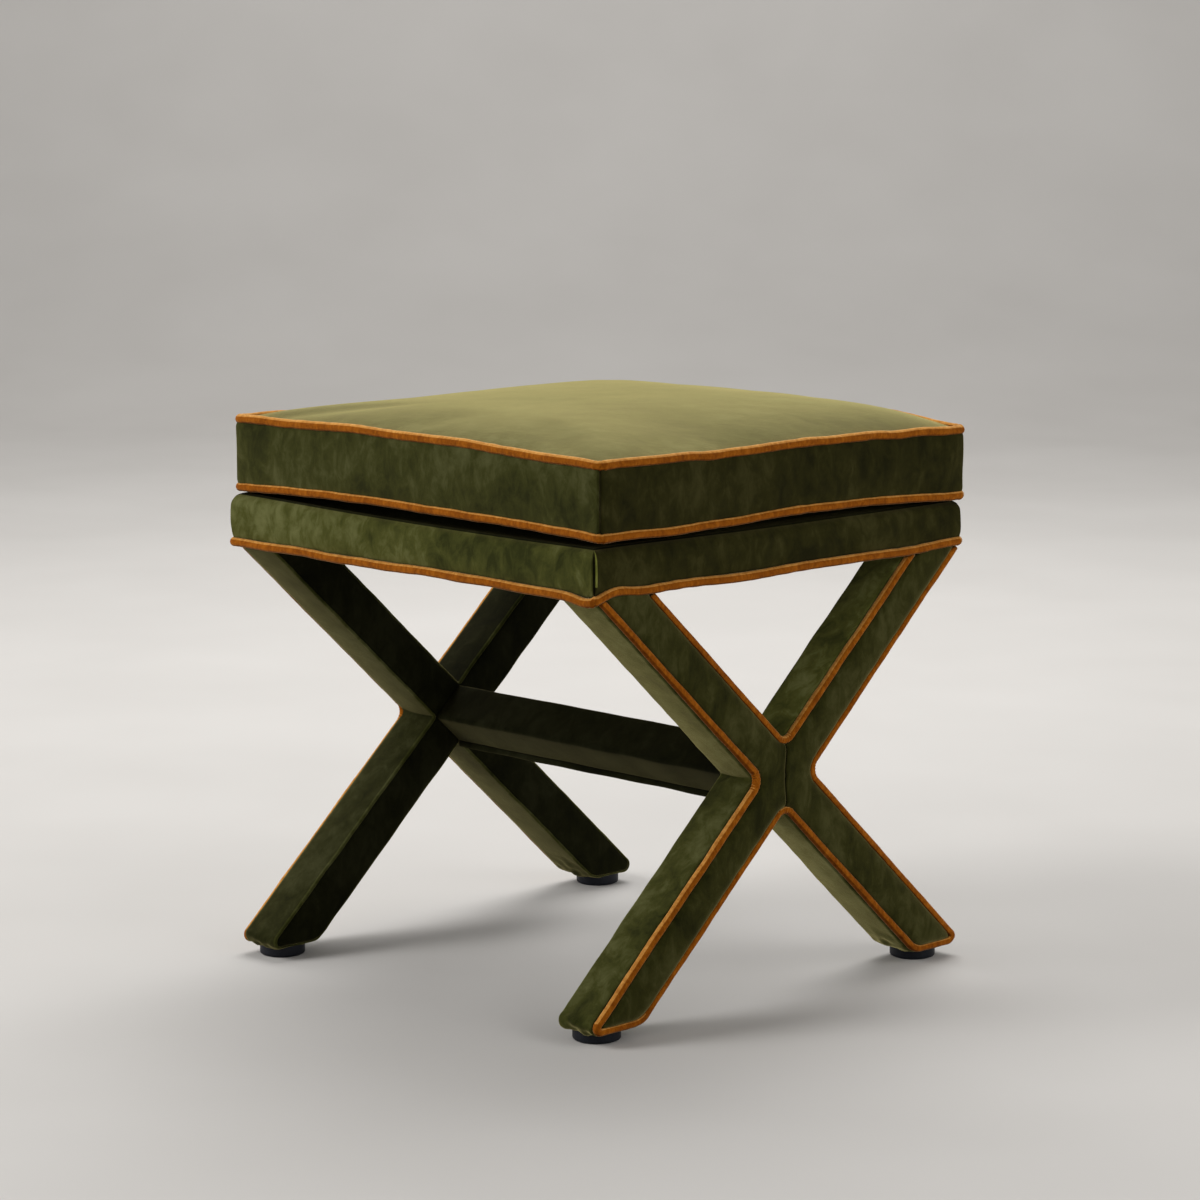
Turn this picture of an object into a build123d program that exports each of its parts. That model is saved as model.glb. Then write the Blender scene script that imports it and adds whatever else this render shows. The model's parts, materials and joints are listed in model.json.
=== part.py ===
from build123d import *
import os
from math import asin, atan2, cos, hypot, sin, tan

# Upholstered bench on two crossed-leg frames with a loose box cushion, in millimetres.
# +Z is up and the origin lies on the floor under the middle of the seat.
# The crossed frames stand at the two X ends, the front is -Y and the back is +Y.

# Seat box, over its velvet
SEAT_LENGTH = 450.0
SEAT_WIDTH = 450.0
SEAT_UNDERSIDE = 366.0
APRON_HEIGHT = 45.0
APRON_CORNER_RADIUS = 7.0
APRON_TOP_RADIUS = 12.0
RAIL_THICKNESS = 22.0
RAIL_HEIGHT = 28.0
DECK_THICKNESS = 9.0
CORNER_BLOCK_LEG = 52.0
CAMBRIC = 0.6
CAMBRIC_SET_IN = 9.0

# Crossed legs, over their velvet
LEG_WIDTH = 40.0
LEG_DEPTH = 45.0
FRAME_SET_IN = 1.0
LEG_TOP_SET_IN = 6.807
LEG_TIP_SET_OUT = 6.193
CROTCH_RADIUS = 16.0
TIP_RADIUS = 6.5
HEEL_RADIUS = 26.0
LEAST_RADIUS = 0.5

# Stretcher, over its velvet: a square bar set on edge, closed by a sewn lip below
STRETCHER_WIDTH = 39.0
STRETCHER_CORNER_RADIUS = 3.0
STRETCHER_PADDING = 4.0
STRETCHER_LIP = 5.0

# Glides
GLIDE_HEIGHT = 10.0
GLIDE_DIAMETER = 40.0
GLIDE_SET_IN = 5.0
GLIDE_CLEAR = 1.0
GLIDE_EDGE_RADIUS = 2.5
GLIDE_RECESS_DEPTH = 5.0

# Covers and welts
VELVET = 1.2
LEG_WELT = 7.0
SEAT_WELT = 8.0
WELT_SINK = 0.5
WELT_GAP = 0.3
UNDER_WELT = 1.0
LAYER_GAP = 0.1
SEAM_GAP = 0.2

# Cushion, set in from the apron at its corners
CUSHION_END_SET_IN = 2.0
CUSHION_SIDE_SET_IN = 4.0
CUSHION_CORNER_RADIUS = 9.0
CUSHION_DRAW_IN = 3.0
REST_GAP = 0.3
BOTTOM_WELT_RISE = 5.2
BOXING_HEIGHT = 58.2
BOTTOM_LIFT = 2.0
TOP_LIFT = 4.0
PANEL_RISE = 1.5
CROWN = 18.0
FIBRE_WRAP = 12.0

# Zip in the back boxing
ZIP_END_SET_IN = 43.0
ZIP_SLOT = 10.0
ZIP_TAPE = 0.8
ZIP_TAPE_WIDTH = 13.0
ZIP_TAPE_END = 8.0
ZIP_COIL_WIDTH = 5.0
ZIP_COIL_HEIGHT = 2.0
ZIP_END = 6.0
SLIDER_LENGTH = 16.0
SLIDER_WALL = 1.4
SLIDER_GAP = 0.3

# Fasteners
BOLT_DIAMETER = 8.0
BOLT_HEAD = 13.0
BOLT_HEAD_HEIGHT = 6.0
STRETCHER_BOLT_REACH = 45.0
LEG_BOLT_REACH = 15.0
LEG_BOLT_SET_IN = 8.0
WASHER_DIAMETER = 16.0
WASHER_THICKNESS = 1.6
INSERT_DIAMETER = 11.0
INSERT_LENGTH = 12.0
SCREW_DIAMETER = 4.0
SCREW_HEAD = 8.0
SCREW_HEAD_HEIGHT = 3.0
DECK_SCREW_LENGTH = 28.0
LAP_SCREW_LENGTH = 26.0
LEG_SCREW_REACH = 16.0
GLIDE_SCREW_LENGTH = 26.0
DECK_SCREW_SPACING = 200.0
LAP_SCREW_SPACING = 26.0
LEG_SCREW_SET_IN = 7.0
DOWEL_DIAMETER = 8.0
DOWEL_LENGTH = 24.0
RAIL_DOWEL_SPACING = 13.0
STRETCHER_DOWEL_SPACING = 22.0
FASTENER_GAP = 0.1
STAPLE_WIDTH = 10.0
STAPLE_LEG = 6.0
STAPLE_WIRE = 0.8
STAPLE_SPACING = 62.0
STAPLES_A_SIDE = 4

# Levels and faces worked out from the sizes above
leg_rebate = WELT_SINK + LEG_WELT / 2 + WELT_GAP
seat_rebate = WELT_SINK + SEAT_WELT / 2 + WELT_GAP
leg_build = leg_rebate + UNDER_WELT
seat_build = seat_rebate + UNDER_WELT
cover_in = VELVET + LAYER_GAP
leg_top = SEAT_UNDERSIDE - CAMBRIC
frame_out = SEAT_LENGTH / 2 - FRAME_SET_IN
frame_in = frame_out - LEG_DEPTH
frame_mid = (frame_out + frame_in) / 2
core_out = frame_out - leg_build
core_in = frame_in + leg_build
leg_rise = leg_top - GLIDE_HEIGHT
leg_reach = SEAT_WIDTH - LEG_TOP_SET_IN + LEG_TIP_SET_OUT
leg_angle = atan2(leg_rise, leg_reach) + asin(LEG_WIDTH / hypot(leg_rise, leg_reach))
leg_across = LEG_WIDTH / 2 / sin(leg_angle)
leg_top_y = SEAT_WIDTH / 2 - LEG_TOP_SET_IN - leg_across
leg_foot_y = SEAT_WIDTH / 2 + LEG_TIP_SET_OUT - leg_across
cross_z = GLIDE_HEIGHT + leg_rise * leg_foot_y / (leg_top_y + leg_foot_y)
rail_x = SEAT_LENGTH / 2 - seat_build
rail_y = SEAT_WIDTH / 2 - seat_build
rail_top = SEAT_UNDERSIDE + RAIL_HEIGHT
deck_top = rail_top + DECK_THICKNESS
apron_top = SEAT_UNDERSIDE + APRON_HEIGHT
apron_welt_z = SEAT_UNDERSIDE + SEAT_WELT / 2
apron_edge = apron_welt_z + SEAT_WELT / 2 + WELT_GAP
cushion_length = SEAT_LENGTH - 2 * CUSHION_END_SET_IN
cushion_width = SEAT_WIDTH - 2 * CUSHION_SIDE_SET_IN
cushion_base = apron_top + REST_GAP
bottom_welt_z = cushion_base + BOTTOM_WELT_RISE
top_welt_z = bottom_welt_z + BOXING_HEIGHT
glide_x = frame_out - WELT_SINK - LEG_WELT / 2 - GLIDE_CLEAR - GLIDE_DIAMETER / 2
glide_y = leg_foot_y - GLIDE_SET_IN
leg_bolt_x = rail_x - RAIL_THICKNESS / 2
leg_bolt_y = leg_top_y - LEG_BOLT_SET_IN
leg_screw_x = core_in + LEG_SCREW_SET_IN
bolt_radius = BOLT_DIAMETER / 2
screw_radius = SCREW_DIAMETER / 2
dowel_radius = DOWEL_DIAMETER / 2
stretcher_inset = cover_in + STRETCHER_PADDING
zip_z = (bottom_welt_z + top_welt_z) / 2
zip_y = cushion_width / 2 - CUSHION_DRAW_IN - cover_in
CORNERS = [(1, -1), (1, 1), (-1, -1), (-1, 1)]


def box(x0, x1, y0, y1, z0, z1):
    """Block between two corners."""
    return Pos((x0 + x1) / 2, (y0 + y1) / 2, (z0 + z1) / 2) * Box(x1 - x0, y1 - y0, z1 - z0)


def rod(x, y, z, radius, length, axis=(0, 0, 1)):
    """Round bar from a point along an axis."""
    return extrude(Plane((x, y, z), z_dir=axis) * Circle(radius), length)


def slab(face, x0, x1):
    """A face drawn in the YZ plane, made into a plate between two X levels."""
    return Pos(x0, 0, 0) * extrude(face, x1 - x0)


def both_frames(shape):
    """The shape at the +X frame and its mirror image at the -X frame."""
    return shape, mirror(shape, about=Plane.YZ)


# Outline of the crossed legs, drawn in the YZ plane and set in from the velvet surface
def leg_y(z):
    """Middle of the leg with its foot at the back, at a height."""
    return (cross_z - z) / tan(leg_angle)


def side_path(inset, top=leg_top, crotch=None):
    """Open outline from the front leg top, round both feet, to the back leg top."""
    half = LEG_WIDTH / 2 - inset
    across = half / sin(leg_angle)
    foot = GLIDE_HEIGHT + inset
    tip_y = leg_y(foot) + across
    heel_y = leg_y(foot) - across
    top_y = across - leg_y(top)
    crotch = CROTCH_RADIUS + inset if crotch is None else crotch
    tip = max(TIP_RADIUS - inset, LEAST_RADIUS)
    heel = max(HEEL_RADIUS - inset, LEAST_RADIUS)
    points = [(-top_y, top), (-across, cross_z), (-tip_y, foot), (-heel_y, foot)]
    points += [(0, cross_z - half / cos(leg_angle))]
    points += [(heel_y, foot), (tip_y, foot), (across, cross_z), (top_y, top)]
    return FilletPolyline(*points, radius=[crotch, tip, heel, crotch, heel, tip, crotch])


def crotch_path(inset, top=leg_top, crotch=None):
    """Open outline of the V between the two leg tops."""
    half = LEG_WIDTH / 2 - inset
    across = half / sin(leg_angle)
    top_y = -leg_y(top) - across
    crotch = CROTCH_RADIUS + inset if crotch is None else crotch
    points = [(top_y, top), (0, cross_z + half / cos(leg_angle)), (-top_y, top)]
    return FilletPolyline(*points, radius=[crotch])


def closed_face(first, second):
    """Face in the YZ plane between two open outlines, joined end to end."""
    ends = [Line(first @ 1, second @ 0), Line(second @ 1, first @ 0)]
    return Plane.YZ * make_face(first.edges() + second.edges() + ends)


def cross_face(inset, top=leg_top, crotch=None):
    """Whole outline of the crossed legs."""
    return closed_face(side_path(inset, top, crotch), crotch_path(inset, top, crotch))


def strip_face(path):
    """Thin strip of velvet along an outline."""
    outer = path(0)
    inner = path(VELVET)
    ends = [Line(outer @ 0, inner @ 0), Line(outer @ 1, inner @ 1)]
    return Plane.YZ * make_face(outer.edges() + inner.edges() + ends)


def leg_welt(path):
    """Round welt along an outline, cut level under the seat."""
    over = leg_top + LEG_WELT
    line = Pos(frame_out - WELT_SINK, 0, 0) * (Plane.YZ * path(WELT_SINK, over))
    wire = Wire(line.edges())
    cord = sweep(Plane(wire @ 0, z_dir=wire % 0) * Circle(LEG_WELT / 2), path=wire)
    return cord - box(0, SEAT_LENGTH, -SEAT_WIDTH, SEAT_WIDTH, leg_top, over + SEAT_WELT)


def stretcher_bar(inset, end):
    """Bar between the two crossings, its four faces in line with the legs, set in from its velvet."""
    half = STRETCHER_WIDTH / 2 - inset
    across = half / sin(leg_angle)
    rise = half / cos(leg_angle)
    points = [(0, cross_z + rise), (across, cross_z), (0, cross_z - rise), (-across, cross_z)]
    radius = max(STRETCHER_CORNER_RADIUS - inset, LEAST_RADIUS)
    section = Plane.YZ * make_face(FilletPolyline(*points, radius=radius, close=True))
    return slab(section, -end, end)


# Fasteners, each made standing up from its seat at the origin
def bolt(length):
    """Socket-head bolt, head above the origin and shank below it."""
    socket = extrude(RegularPolygon(BOLT_HEAD / 4, 6), BOLT_HEAD_HEIGHT)
    head = rod(0, 0, 0, BOLT_HEAD / 2, BOLT_HEAD_HEIGHT) - Pos(0, 0, BOLT_HEAD_HEIGHT / 2) * socket
    return head + rod(0, 0, -length, bolt_radius, length)


def screw(length, gap=0.0):
    """Countersunk screw with its head face at the origin, or its hole with a gap all round."""
    radius = screw_radius + gap
    head = SCREW_HEAD / 2 + gap
    profile = [(0, 0), (head, 0), (radius, -SCREW_HEAD_HEIGHT), (radius, -length - gap), (0, -length - gap)]
    return revolve(Plane.XZ * make_face(Polyline(*profile, close=True)), Axis.Z)


deck_screws = [Pos(sx * leg_bolt_x, sy * DECK_SCREW_SPACING / 2, deck_top) for sx, sy in CORNERS]
side_screw_y = rail_y - RAIL_THICKNESS / 2
deck_screws += [Pos(sx * DECK_SCREW_SPACING / 2, sy * side_screw_y, deck_top) for sx, sy in CORNERS]
leg_screws = [Pos(sx * leg_screw_x, sy * leg_bolt_y, rail_top) for sx, sy in CORNERS]
leg_screw_length = RAIL_HEIGHT + CAMBRIC + LEG_SCREW_REACH
lap_screws = []
for frame_side in (1, -1):
    for lap_side in (1, -1):
        spot = (frame_side * core_out, lap_side * LAP_SCREW_SPACING / 2, cross_z)
        lap_screws.append(Plane(spot, z_dir=(frame_side, 0, 0)).location)
glide_screws = []
for sx, sy in CORNERS:
    spot = (sx * glide_x, sy * glide_y, GLIDE_HEIGHT - GLIDE_RECESS_DEPTH)
    glide_screws.append(Plane(spot, x_dir=(1, 0, 0), z_dir=(0, 0, -1)).location)


def screws(gap=0.0):
    """Every deck, leg and lap screw, or their holes."""
    made = [place * screw(DECK_SCREW_LENGTH, gap) for place in deck_screws]
    made += [place * screw(leg_screw_length, gap) for place in leg_screws]
    return made + [place * screw(LAP_SCREW_LENGTH, gap) for place in lap_screws]


def dowels(gap=0.0):
    """Rail dowels and stretcher dowels along X, or their holes."""
    length = DOWEL_LENGTH + 2 * gap
    radius = dowel_radius + gap
    rail_mid = SEAT_UNDERSIDE + RAIL_HEIGHT / 2
    made = []
    for side in (1, -1):
        rail_seat = side * (rail_x - RAIL_THICKNESS)
        leg_seat = side * core_in
        for step in (1, -1):
            for y in (side_screw_y, -side_screw_y):
                z = rail_mid + step * RAIL_DOWEL_SPACING / 2
                made.append(rod(rail_seat - length / 2, y, z, radius, length, (1, 0, 0)))
            z = cross_z + step * STRETCHER_DOWEL_SPACING / 2
            made.append(rod(leg_seat - length / 2, 0, z, radius, length, (1, 0, 0)))
    return made


leg_bolt_seat = rail_top - BOLT_HEAD_HEIGHT - LAYER_GAP
leg_bolt_shank = leg_bolt_seat - leg_top + LEG_BOLT_REACH
stretcher_bolt_seat = core_out - BOLT_HEAD_HEIGHT
stretcher_bolt_shank = stretcher_bolt_seat - core_in + STRETCHER_BOLT_REACH


def leg_bolt_holes():
    """Counterbores, shank holes and insert pockets of the four leg bolts."""
    cuts = []
    sink = WASHER_DIAMETER / 2 + FASTENER_GAP
    floor = leg_bolt_seat - WASHER_THICKNESS
    for sx, sy in CORNERS:
        x = sx * leg_bolt_x
        y = sy * leg_bolt_y
        cuts.append(rod(x, y, floor, sink, deck_top - floor))
        low = leg_top - LEG_BOLT_REACH - FASTENER_GAP
        cuts.append(rod(x, y, low, bolt_radius + FASTENER_GAP, floor - low))
        pocket = leg_top - INSERT_LENGTH
        cuts.append(rod(x, y, pocket, INSERT_DIAMETER / 2 + FASTENER_GAP, INSERT_LENGTH))
    return cuts


def stretcher_bolt_holes():
    """Counterbores and shank holes of the two stretcher bolts."""
    cuts = []
    for side in (1, -1):
        axis = (-side, 0, 0)
        sink = BOLT_HEAD / 2 + FASTENER_GAP
        cuts.append(rod(side * core_out, 0, cross_z, sink, BOLT_HEAD_HEIGHT, axis))
        length = stretcher_bolt_shank + FASTENER_GAP
        cuts.append(rod(side * stretcher_bolt_seat, 0, cross_z, bolt_radius + FASTENER_GAP, length, axis))
    return cuts


def glide_screw_holes():
    """Holes of the four glide screws."""
    return [place * screw(GLIDE_SCREW_LENGTH, FASTENER_GAP) for place in glide_screws]


screw_holes = screws(FASTENER_GAP)
dowel_holes = dowels(FASTENER_GAP)
rail_bolt_holes = leg_bolt_holes()
cross_bolt_holes = stretcher_bolt_holes()
glide_holes = glide_screw_holes()
wood_holes = screw_holes + dowel_holes + rail_bolt_holes + cross_bolt_holes + glide_holes
nodes = {}


# Crossed-leg frames
def leg_bar(foot_side):
    """One straight leg bar of a frame before its half-lap is cut."""
    half = LEG_WIDTH / 2 - leg_build
    across = half / sin(leg_angle)
    foot = GLIDE_HEIGHT + leg_build
    high = leg_y(leg_top)
    low = leg_y(foot)
    points = [(high - across, leg_top), (high + across, leg_top), (low + across, foot), (low - across, foot)]
    radii = [0, 0, max(TIP_RADIUS - leg_build, LEAST_RADIUS), max(HEEL_RADIUS - leg_build, LEAST_RADIUS)]
    points = [(foot_side * y, z) for y, z in points]
    return Plane.YZ * make_face(FilletPolyline(*points, radius=radii, close=True))


def crossed_legs():
    """Front-foot and back-foot bars, each halved where they cross."""
    front_face = leg_bar(-1)
    back_face = leg_bar(1)
    front = slab(front_face, core_in, core_out) - slab(back_face, core_in - UNDER_WELT, frame_mid)
    back = slab(back_face, core_in, core_out) - slab(front_face, frame_mid, core_out + UNDER_WELT)
    return front, back


def frame_padding():
    """Padding over the bars, stepped back along the welt and open at the leg tops."""
    step = frame_out - leg_rebate
    pad = slab(cross_face(cover_in), frame_in + cover_in, step)
    pad += slab(cross_face(leg_rebate), step, frame_out - cover_in)
    hollow = cross_face(leg_build - LAYER_GAP, leg_top + SEAT_WELT, 0)
    pad -= slab(hollow, core_in - LAYER_GAP, core_out + LAYER_GAP)
    return pad - stretcher_bar(stretcher_inset, core_in) - glide_holes


def frame_covers():
    """Velvet pieces and welts of the +X frame, by name."""
    flat = frame_out - VELVET
    face = slab(cross_face(leg_rebate), flat, frame_out)
    half = SEAM_GAP / 2
    band_in = frame_in + VELVET
    band_out = frame_out - leg_rebate
    return {
        "outer_panel_front": face - box(0, SEAT_LENGTH, -half, SEAT_WIDTH, 0, SEAT_UNDERSIDE),
        "outer_panel_back": face - box(0, SEAT_LENGTH, -SEAT_WIDTH, half, 0, SEAT_UNDERSIDE),
        "inner_panel": slab(cross_face(0), frame_in, band_in) - stretcher_bar(stretcher_inset, core_in),
        "side_band": slab(strip_face(side_path), band_in, band_out) - glide_holes,
        "crotch_band": slab(strip_face(crotch_path), band_in, band_out),
        "side_welt": leg_welt(side_path),
        "crotch_welt": leg_welt(crotch_path),
    }


for foot, bar in zip(("front", "back"), crossed_legs()):
    for side, shape in zip(("right", "left"), both_frames(bar)):
        nodes[f"leg_{side}_{foot}"] = shape - wood_holes
for name, cover in (frame_covers() | {"leg_padding": frame_padding()}).items():
    for side, shape in zip(("right", "left"), both_frames(cover)):
        nodes[f"{name}_{side}"] = shape


# Stretcher
stretcher_core = stretcher_bar(stretcher_inset + LAYER_GAP, core_in)
nodes["stretcher_core"] = stretcher_core - dowel_holes - cross_bolt_holes
nodes["stretcher_padding"] = stretcher_bar(cover_in, frame_in) - stretcher_bar(stretcher_inset, core_in)
lip_low = cross_z - STRETCHER_WIDTH / 2 / cos(leg_angle) - STRETCHER_LIP
lip = box(-frame_in, frame_in, -VELVET, VELVET, lip_low, cross_z)
nodes["stretcher_cover"] = (stretcher_bar(0, frame_in) + lip) - stretcher_bar(VELVET, core_in)
bolt_places = [Plane((side * stretcher_bolt_seat, 0, cross_z), z_dir=(side, 0, 0)) for side in (1, -1)]
nodes["stretcher_bolts"] = Compound([place * bolt(stretcher_bolt_shank) for place in bolt_places])
nodes["frame_dowels"] = Compound(dowels())
nodes["wood_screws"] = Compound(screws())


# Seat box
def apron_block(inset, low):
    """Seat box with rounded corners and a rounded top edge, set in from its velvet surface."""
    length = SEAT_LENGTH - 2 * inset
    width = SEAT_WIDTH - 2 * inset
    corner = max(APRON_CORNER_RADIUS - inset, LEAST_RADIUS)
    block = Pos(0, 0, low) * extrude(RectangleRounded(length, width, corner), apron_top - inset - low)
    return fillet(block.faces().sort_by(Axis.Z)[-1].edges(), max(APRON_TOP_RADIUS - inset, LEAST_RADIUS))


seat_low = SEAT_UNDERSIDE - SEAT_WELT
rail_in_x = rail_x - RAIL_THICKNESS
rail_in_y = rail_y - RAIL_THICKNESS
rails = {
    "rail_right": box(rail_in_x, rail_x, -rail_y, rail_y, SEAT_UNDERSIDE, rail_top),
    "rail_left": box(-rail_x, -rail_in_x, -rail_y, rail_y, SEAT_UNDERSIDE, rail_top),
    "rail_front": box(-rail_in_x, rail_in_x, -rail_y, -rail_in_y, SEAT_UNDERSIDE, rail_top),
    "rail_back": box(-rail_in_x, rail_in_x, rail_in_y, rail_y, SEAT_UNDERSIDE, rail_top),
}
for name, rail in rails.items():
    nodes[name] = rail - wood_holes
blocks = []
for sx, sy in CORNERS:
    corner = (sx * rail_in_x, sy * rail_in_y)
    along = (corner[0] - sx * CORNER_BLOCK_LEG, corner[1])
    across = (corner[0], corner[1] - sy * CORNER_BLOCK_LEG)
    triangle = make_face(Polyline(corner, along, across, close=True))
    blocks.append(Pos(0, 0, SEAT_UNDERSIDE) * extrude(triangle, RAIL_HEIGHT, dir=(0, 0, 1)) - screw_holes)
nodes["corner_blocks"] = Compound(blocks)
nodes["deck_panel"] = box(-rail_x, rail_x, -rail_y, rail_y, rail_top, deck_top) - screw_holes
pad_hollow_x = rail_x + LAYER_GAP
pad_hollow_y = rail_y + LAYER_GAP
hollow = box(-pad_hollow_x, pad_hollow_x, -pad_hollow_y, pad_hollow_y, seat_low, deck_top + LAYER_GAP)
nodes["seat_padding"] = apron_block(cover_in, apron_edge) - hollow
nodes["apron_cover"] = apron_block(0, apron_edge) - apron_block(VELVET, seat_low)
cambric_x = SEAT_LENGTH / 2 - CAMBRIC_SET_IN
cambric_y = SEAT_WIDTH / 2 - CAMBRIC_SET_IN
cambric = box(-cambric_x, cambric_x, -cambric_y, cambric_y, leg_top, SEAT_UNDERSIDE)
nodes["dust_cover"] = cambric - rail_bolt_holes - screw_holes


def level_welt(length, width, corner, z):
    """Round welt along a level rounded rectangle."""
    wire = (Pos(0, 0, z) * RectangleRounded(length, width, corner)).faces()[0].outer_wire()
    return sweep(Plane(wire @ 0, z_dir=wire % 0) * Circle(SEAT_WELT / 2), path=wire)


welt_length = SEAT_LENGTH - 2 * WELT_SINK
welt_width = SEAT_WIDTH - 2 * WELT_SINK
welt_corner = APRON_CORNER_RADIUS - WELT_SINK
nodes["apron_welt"] = level_welt(welt_length, welt_width, welt_corner, apron_welt_z)


def staple():
    """Staple driven up into a rail, its crown under the dust cover and along X."""
    half = STAPLE_WIDTH / 2
    wire = STAPLE_WIRE / 2
    low = leg_top - STAPLE_WIRE
    crown = box(-half, half, -wire, wire, low, leg_top)
    for side in (1, -1):
        outer = side * half
        inner = side * (half - STAPLE_WIRE)
        crown += box(min(outer, inner), max(outer, inner), -wire, wire, low, leg_top + STAPLE_LEG)
    return crown


staples = []
for step in range(STAPLES_A_SIDE):
    along = (step - (STAPLES_A_SIDE - 1) / 2) * STAPLE_SPACING
    for side in (1, -1):
        staples.append(Pos(along, side * (rail_in_y + RAIL_THICKNESS / 3), 0) * staple())
        staples.append(Pos(side * (rail_in_x + RAIL_THICKNESS / 3), along, 0) * Rot(0, 0, 90) * staple())
nodes["dust_cover_staples"] = Compound(staples)


# Leg bolts
def washer():
    """Flat washer under a leg bolt's head."""
    ring = rod(0, 0, -WASHER_THICKNESS, WASHER_DIAMETER / 2, WASHER_THICKNESS)
    return ring - rod(0, 0, -WASHER_THICKNESS, bolt_radius + FASTENER_GAP, WASHER_THICKNESS)


def insert_nut():
    """Threaded insert let into a leg's top."""
    body = rod(0, 0, -INSERT_LENGTH, INSERT_DIAMETER / 2, INSERT_LENGTH)
    return body - rod(0, 0, -INSERT_LENGTH, bolt_radius + FASTENER_GAP, INSERT_LENGTH)


seats = [Pos(sx * leg_bolt_x, sy * leg_bolt_y, leg_bolt_seat) for sx, sy in CORNERS]
nodes["leg_bolts"] = Compound([place * bolt(leg_bolt_shank) for place in seats])
nodes["leg_washers"] = Compound([place * washer() for place in seats])
tops = [Pos(sx * leg_bolt_x, sy * leg_bolt_y, leg_top) for sx, sy in CORNERS]
nodes["leg_insert_nuts"] = Compound([place * insert_nut() for place in tops])


# Glides
def glide():
    """Round glide with a softened lower edge and a recess for its screw."""
    disc = rod(0, 0, 0, GLIDE_DIAMETER / 2, GLIDE_HEIGHT)
    disc = fillet(disc.faces().sort_by(Axis.Z)[0].edges(), GLIDE_EDGE_RADIUS)
    recess = rod(0, 0, 0, SCREW_HEAD / 2 + FASTENER_GAP, GLIDE_RECESS_DEPTH)
    return disc - recess


for (sx, sy), name in zip(CORNERS, ("right_front", "right_back", "left_front", "left_back")):
    nodes[f"glide_{name}"] = Pos(sx * glide_x, sy * glide_y, 0) * glide() - glide_holes
nodes["glide_screws"] = Compound([place * screw(GLIDE_SCREW_LENGTH) for place in glide_screws])


# Cushion: plan with drawn-in sides, lifted edges and a crowned top
def cushion_corners(inset):
    """Half length and half width of the cushion at its corners."""
    return cushion_length / 2 - inset, cushion_width / 2 - inset


def cushion_plan(inset, low, high):
    """Prism on the cushion's plan, whose four sides bow inwards."""
    x, y = cushion_corners(inset)
    sides = [
        ThreePointArc((-x, -y), (0, CUSHION_DRAW_IN - y), (x, -y)),
        ThreePointArc((x, -y), (x - CUSHION_DRAW_IN, 0), (x, y)),
        ThreePointArc((x, y), (0, y - CUSHION_DRAW_IN), (-x, y)),
        ThreePointArc((-x, y), (CUSHION_DRAW_IN - x, 0), (-x, -y)),
    ]
    face = make_face(sides)
    face = fillet(face.vertices(), max(CUSHION_CORNER_RADIUS - inset, LEAST_RADIUS))
    return Pos(0, 0, low) * extrude(face, high - low, dir=(0, 0, 1))


CROWN_STATIONS = (-1.0, -0.86, -0.5, 0.0, 0.5, 0.86, 1.0)
SHOULDER = 0.72
SHOULDER_SHARE = 0.84
panel_z = top_welt_z + PANEL_RISE


def crown_section(station):
    """Upright slice across the cushion, flat below and crowned above in three tangent arcs."""
    half = cushion_width / 2
    edge = panel_z + TOP_LIFT * (1 - station**2)
    rise = TOP_LIFT + (CROWN - TOP_LIFT) * (1 - abs(station) ** 3)
    left = (-half, edge)
    right = (half, edge)
    shoulder = edge + SHOULDER_SHARE * rise
    middle = ThreePointArc((-SHOULDER * half, shoulder), (0, edge + rise), (SHOULDER * half, shoulder))
    front = TangentArc(middle @ 0, left, tangent=-(middle % 0))
    back = TangentArc(middle @ 1, right, tangent=middle % 1)
    skirt = Polyline(left, (-half, cushion_base), (half, cushion_base), right)
    face = make_face(front.edges() + middle.edges() + back.edges() + skirt.edges())
    return Pos(station * cushion_length / 2, 0, 0) * (Plane.YZ * face)


crown_block = loft([crown_section(station) for station in CROWN_STATIONS])


def under_crown(drop):
    """Everything under the crowned surface, lowered by a layer's thickness."""
    return Pos(0, 0, -drop) * crown_block


def cushion_filling():
    """Envelope inside the velvet, stepped back for both welts and flat behind the zip."""
    x, y = cushion_corners(cover_in)
    low = cushion_base + cover_in
    body = cushion_plan(cover_in, low, apron_top + cushion_width) & under_crown(cover_in)
    bottom_step = bottom_welt_z + BOTTOM_LIFT + SEAT_WELT / 2 + WELT_GAP
    top_step = top_welt_z - SEAT_WELT / 2 - WELT_GAP
    high = top_welt_z + cushion_width
    for start, end in ((cushion_base - SEAT_WELT, bottom_step), (top_step, high)):
        body -= cushion_plan(-SEAT_WELT, start, end) - cushion_plan(seat_rebate, start, end)
    return body - box(-x, x, zip_y - ZIP_TAPE - LAYER_GAP, y + SEAT_WELT, cushion_base, high)


def foam_room(gap):
    """Space of the foam block, open to the sides and back, as the wrap folds round the front."""
    x, y = cushion_corners(-SEAT_WELT)
    front = CUSHION_DRAW_IN + cover_in + FIBRE_WRAP - gap - cushion_width / 2
    low = cushion_base + cover_in + FIBRE_WRAP - gap
    room = box(-x, x, front, y, low, top_welt_z + cushion_width)
    return room & (Pos(0, 0, gap) * under_crown(cover_in + FIBRE_WRAP))


filling = cushion_filling()
nodes["cushion_foam"] = filling & foam_room(0)
nodes["cushion_fibre_wrap"] = filling - foam_room(LAYER_GAP)
panel_prism = cushion_plan(seat_rebate, cushion_base, apron_top + cushion_width)
nodes["cushion_top_panel"] = (under_crown(0) & panel_prism) - under_crown(VELVET)
nodes["cushion_bottom_panel"] = cushion_plan(seat_rebate, cushion_base, cushion_base + VELVET)


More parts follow.
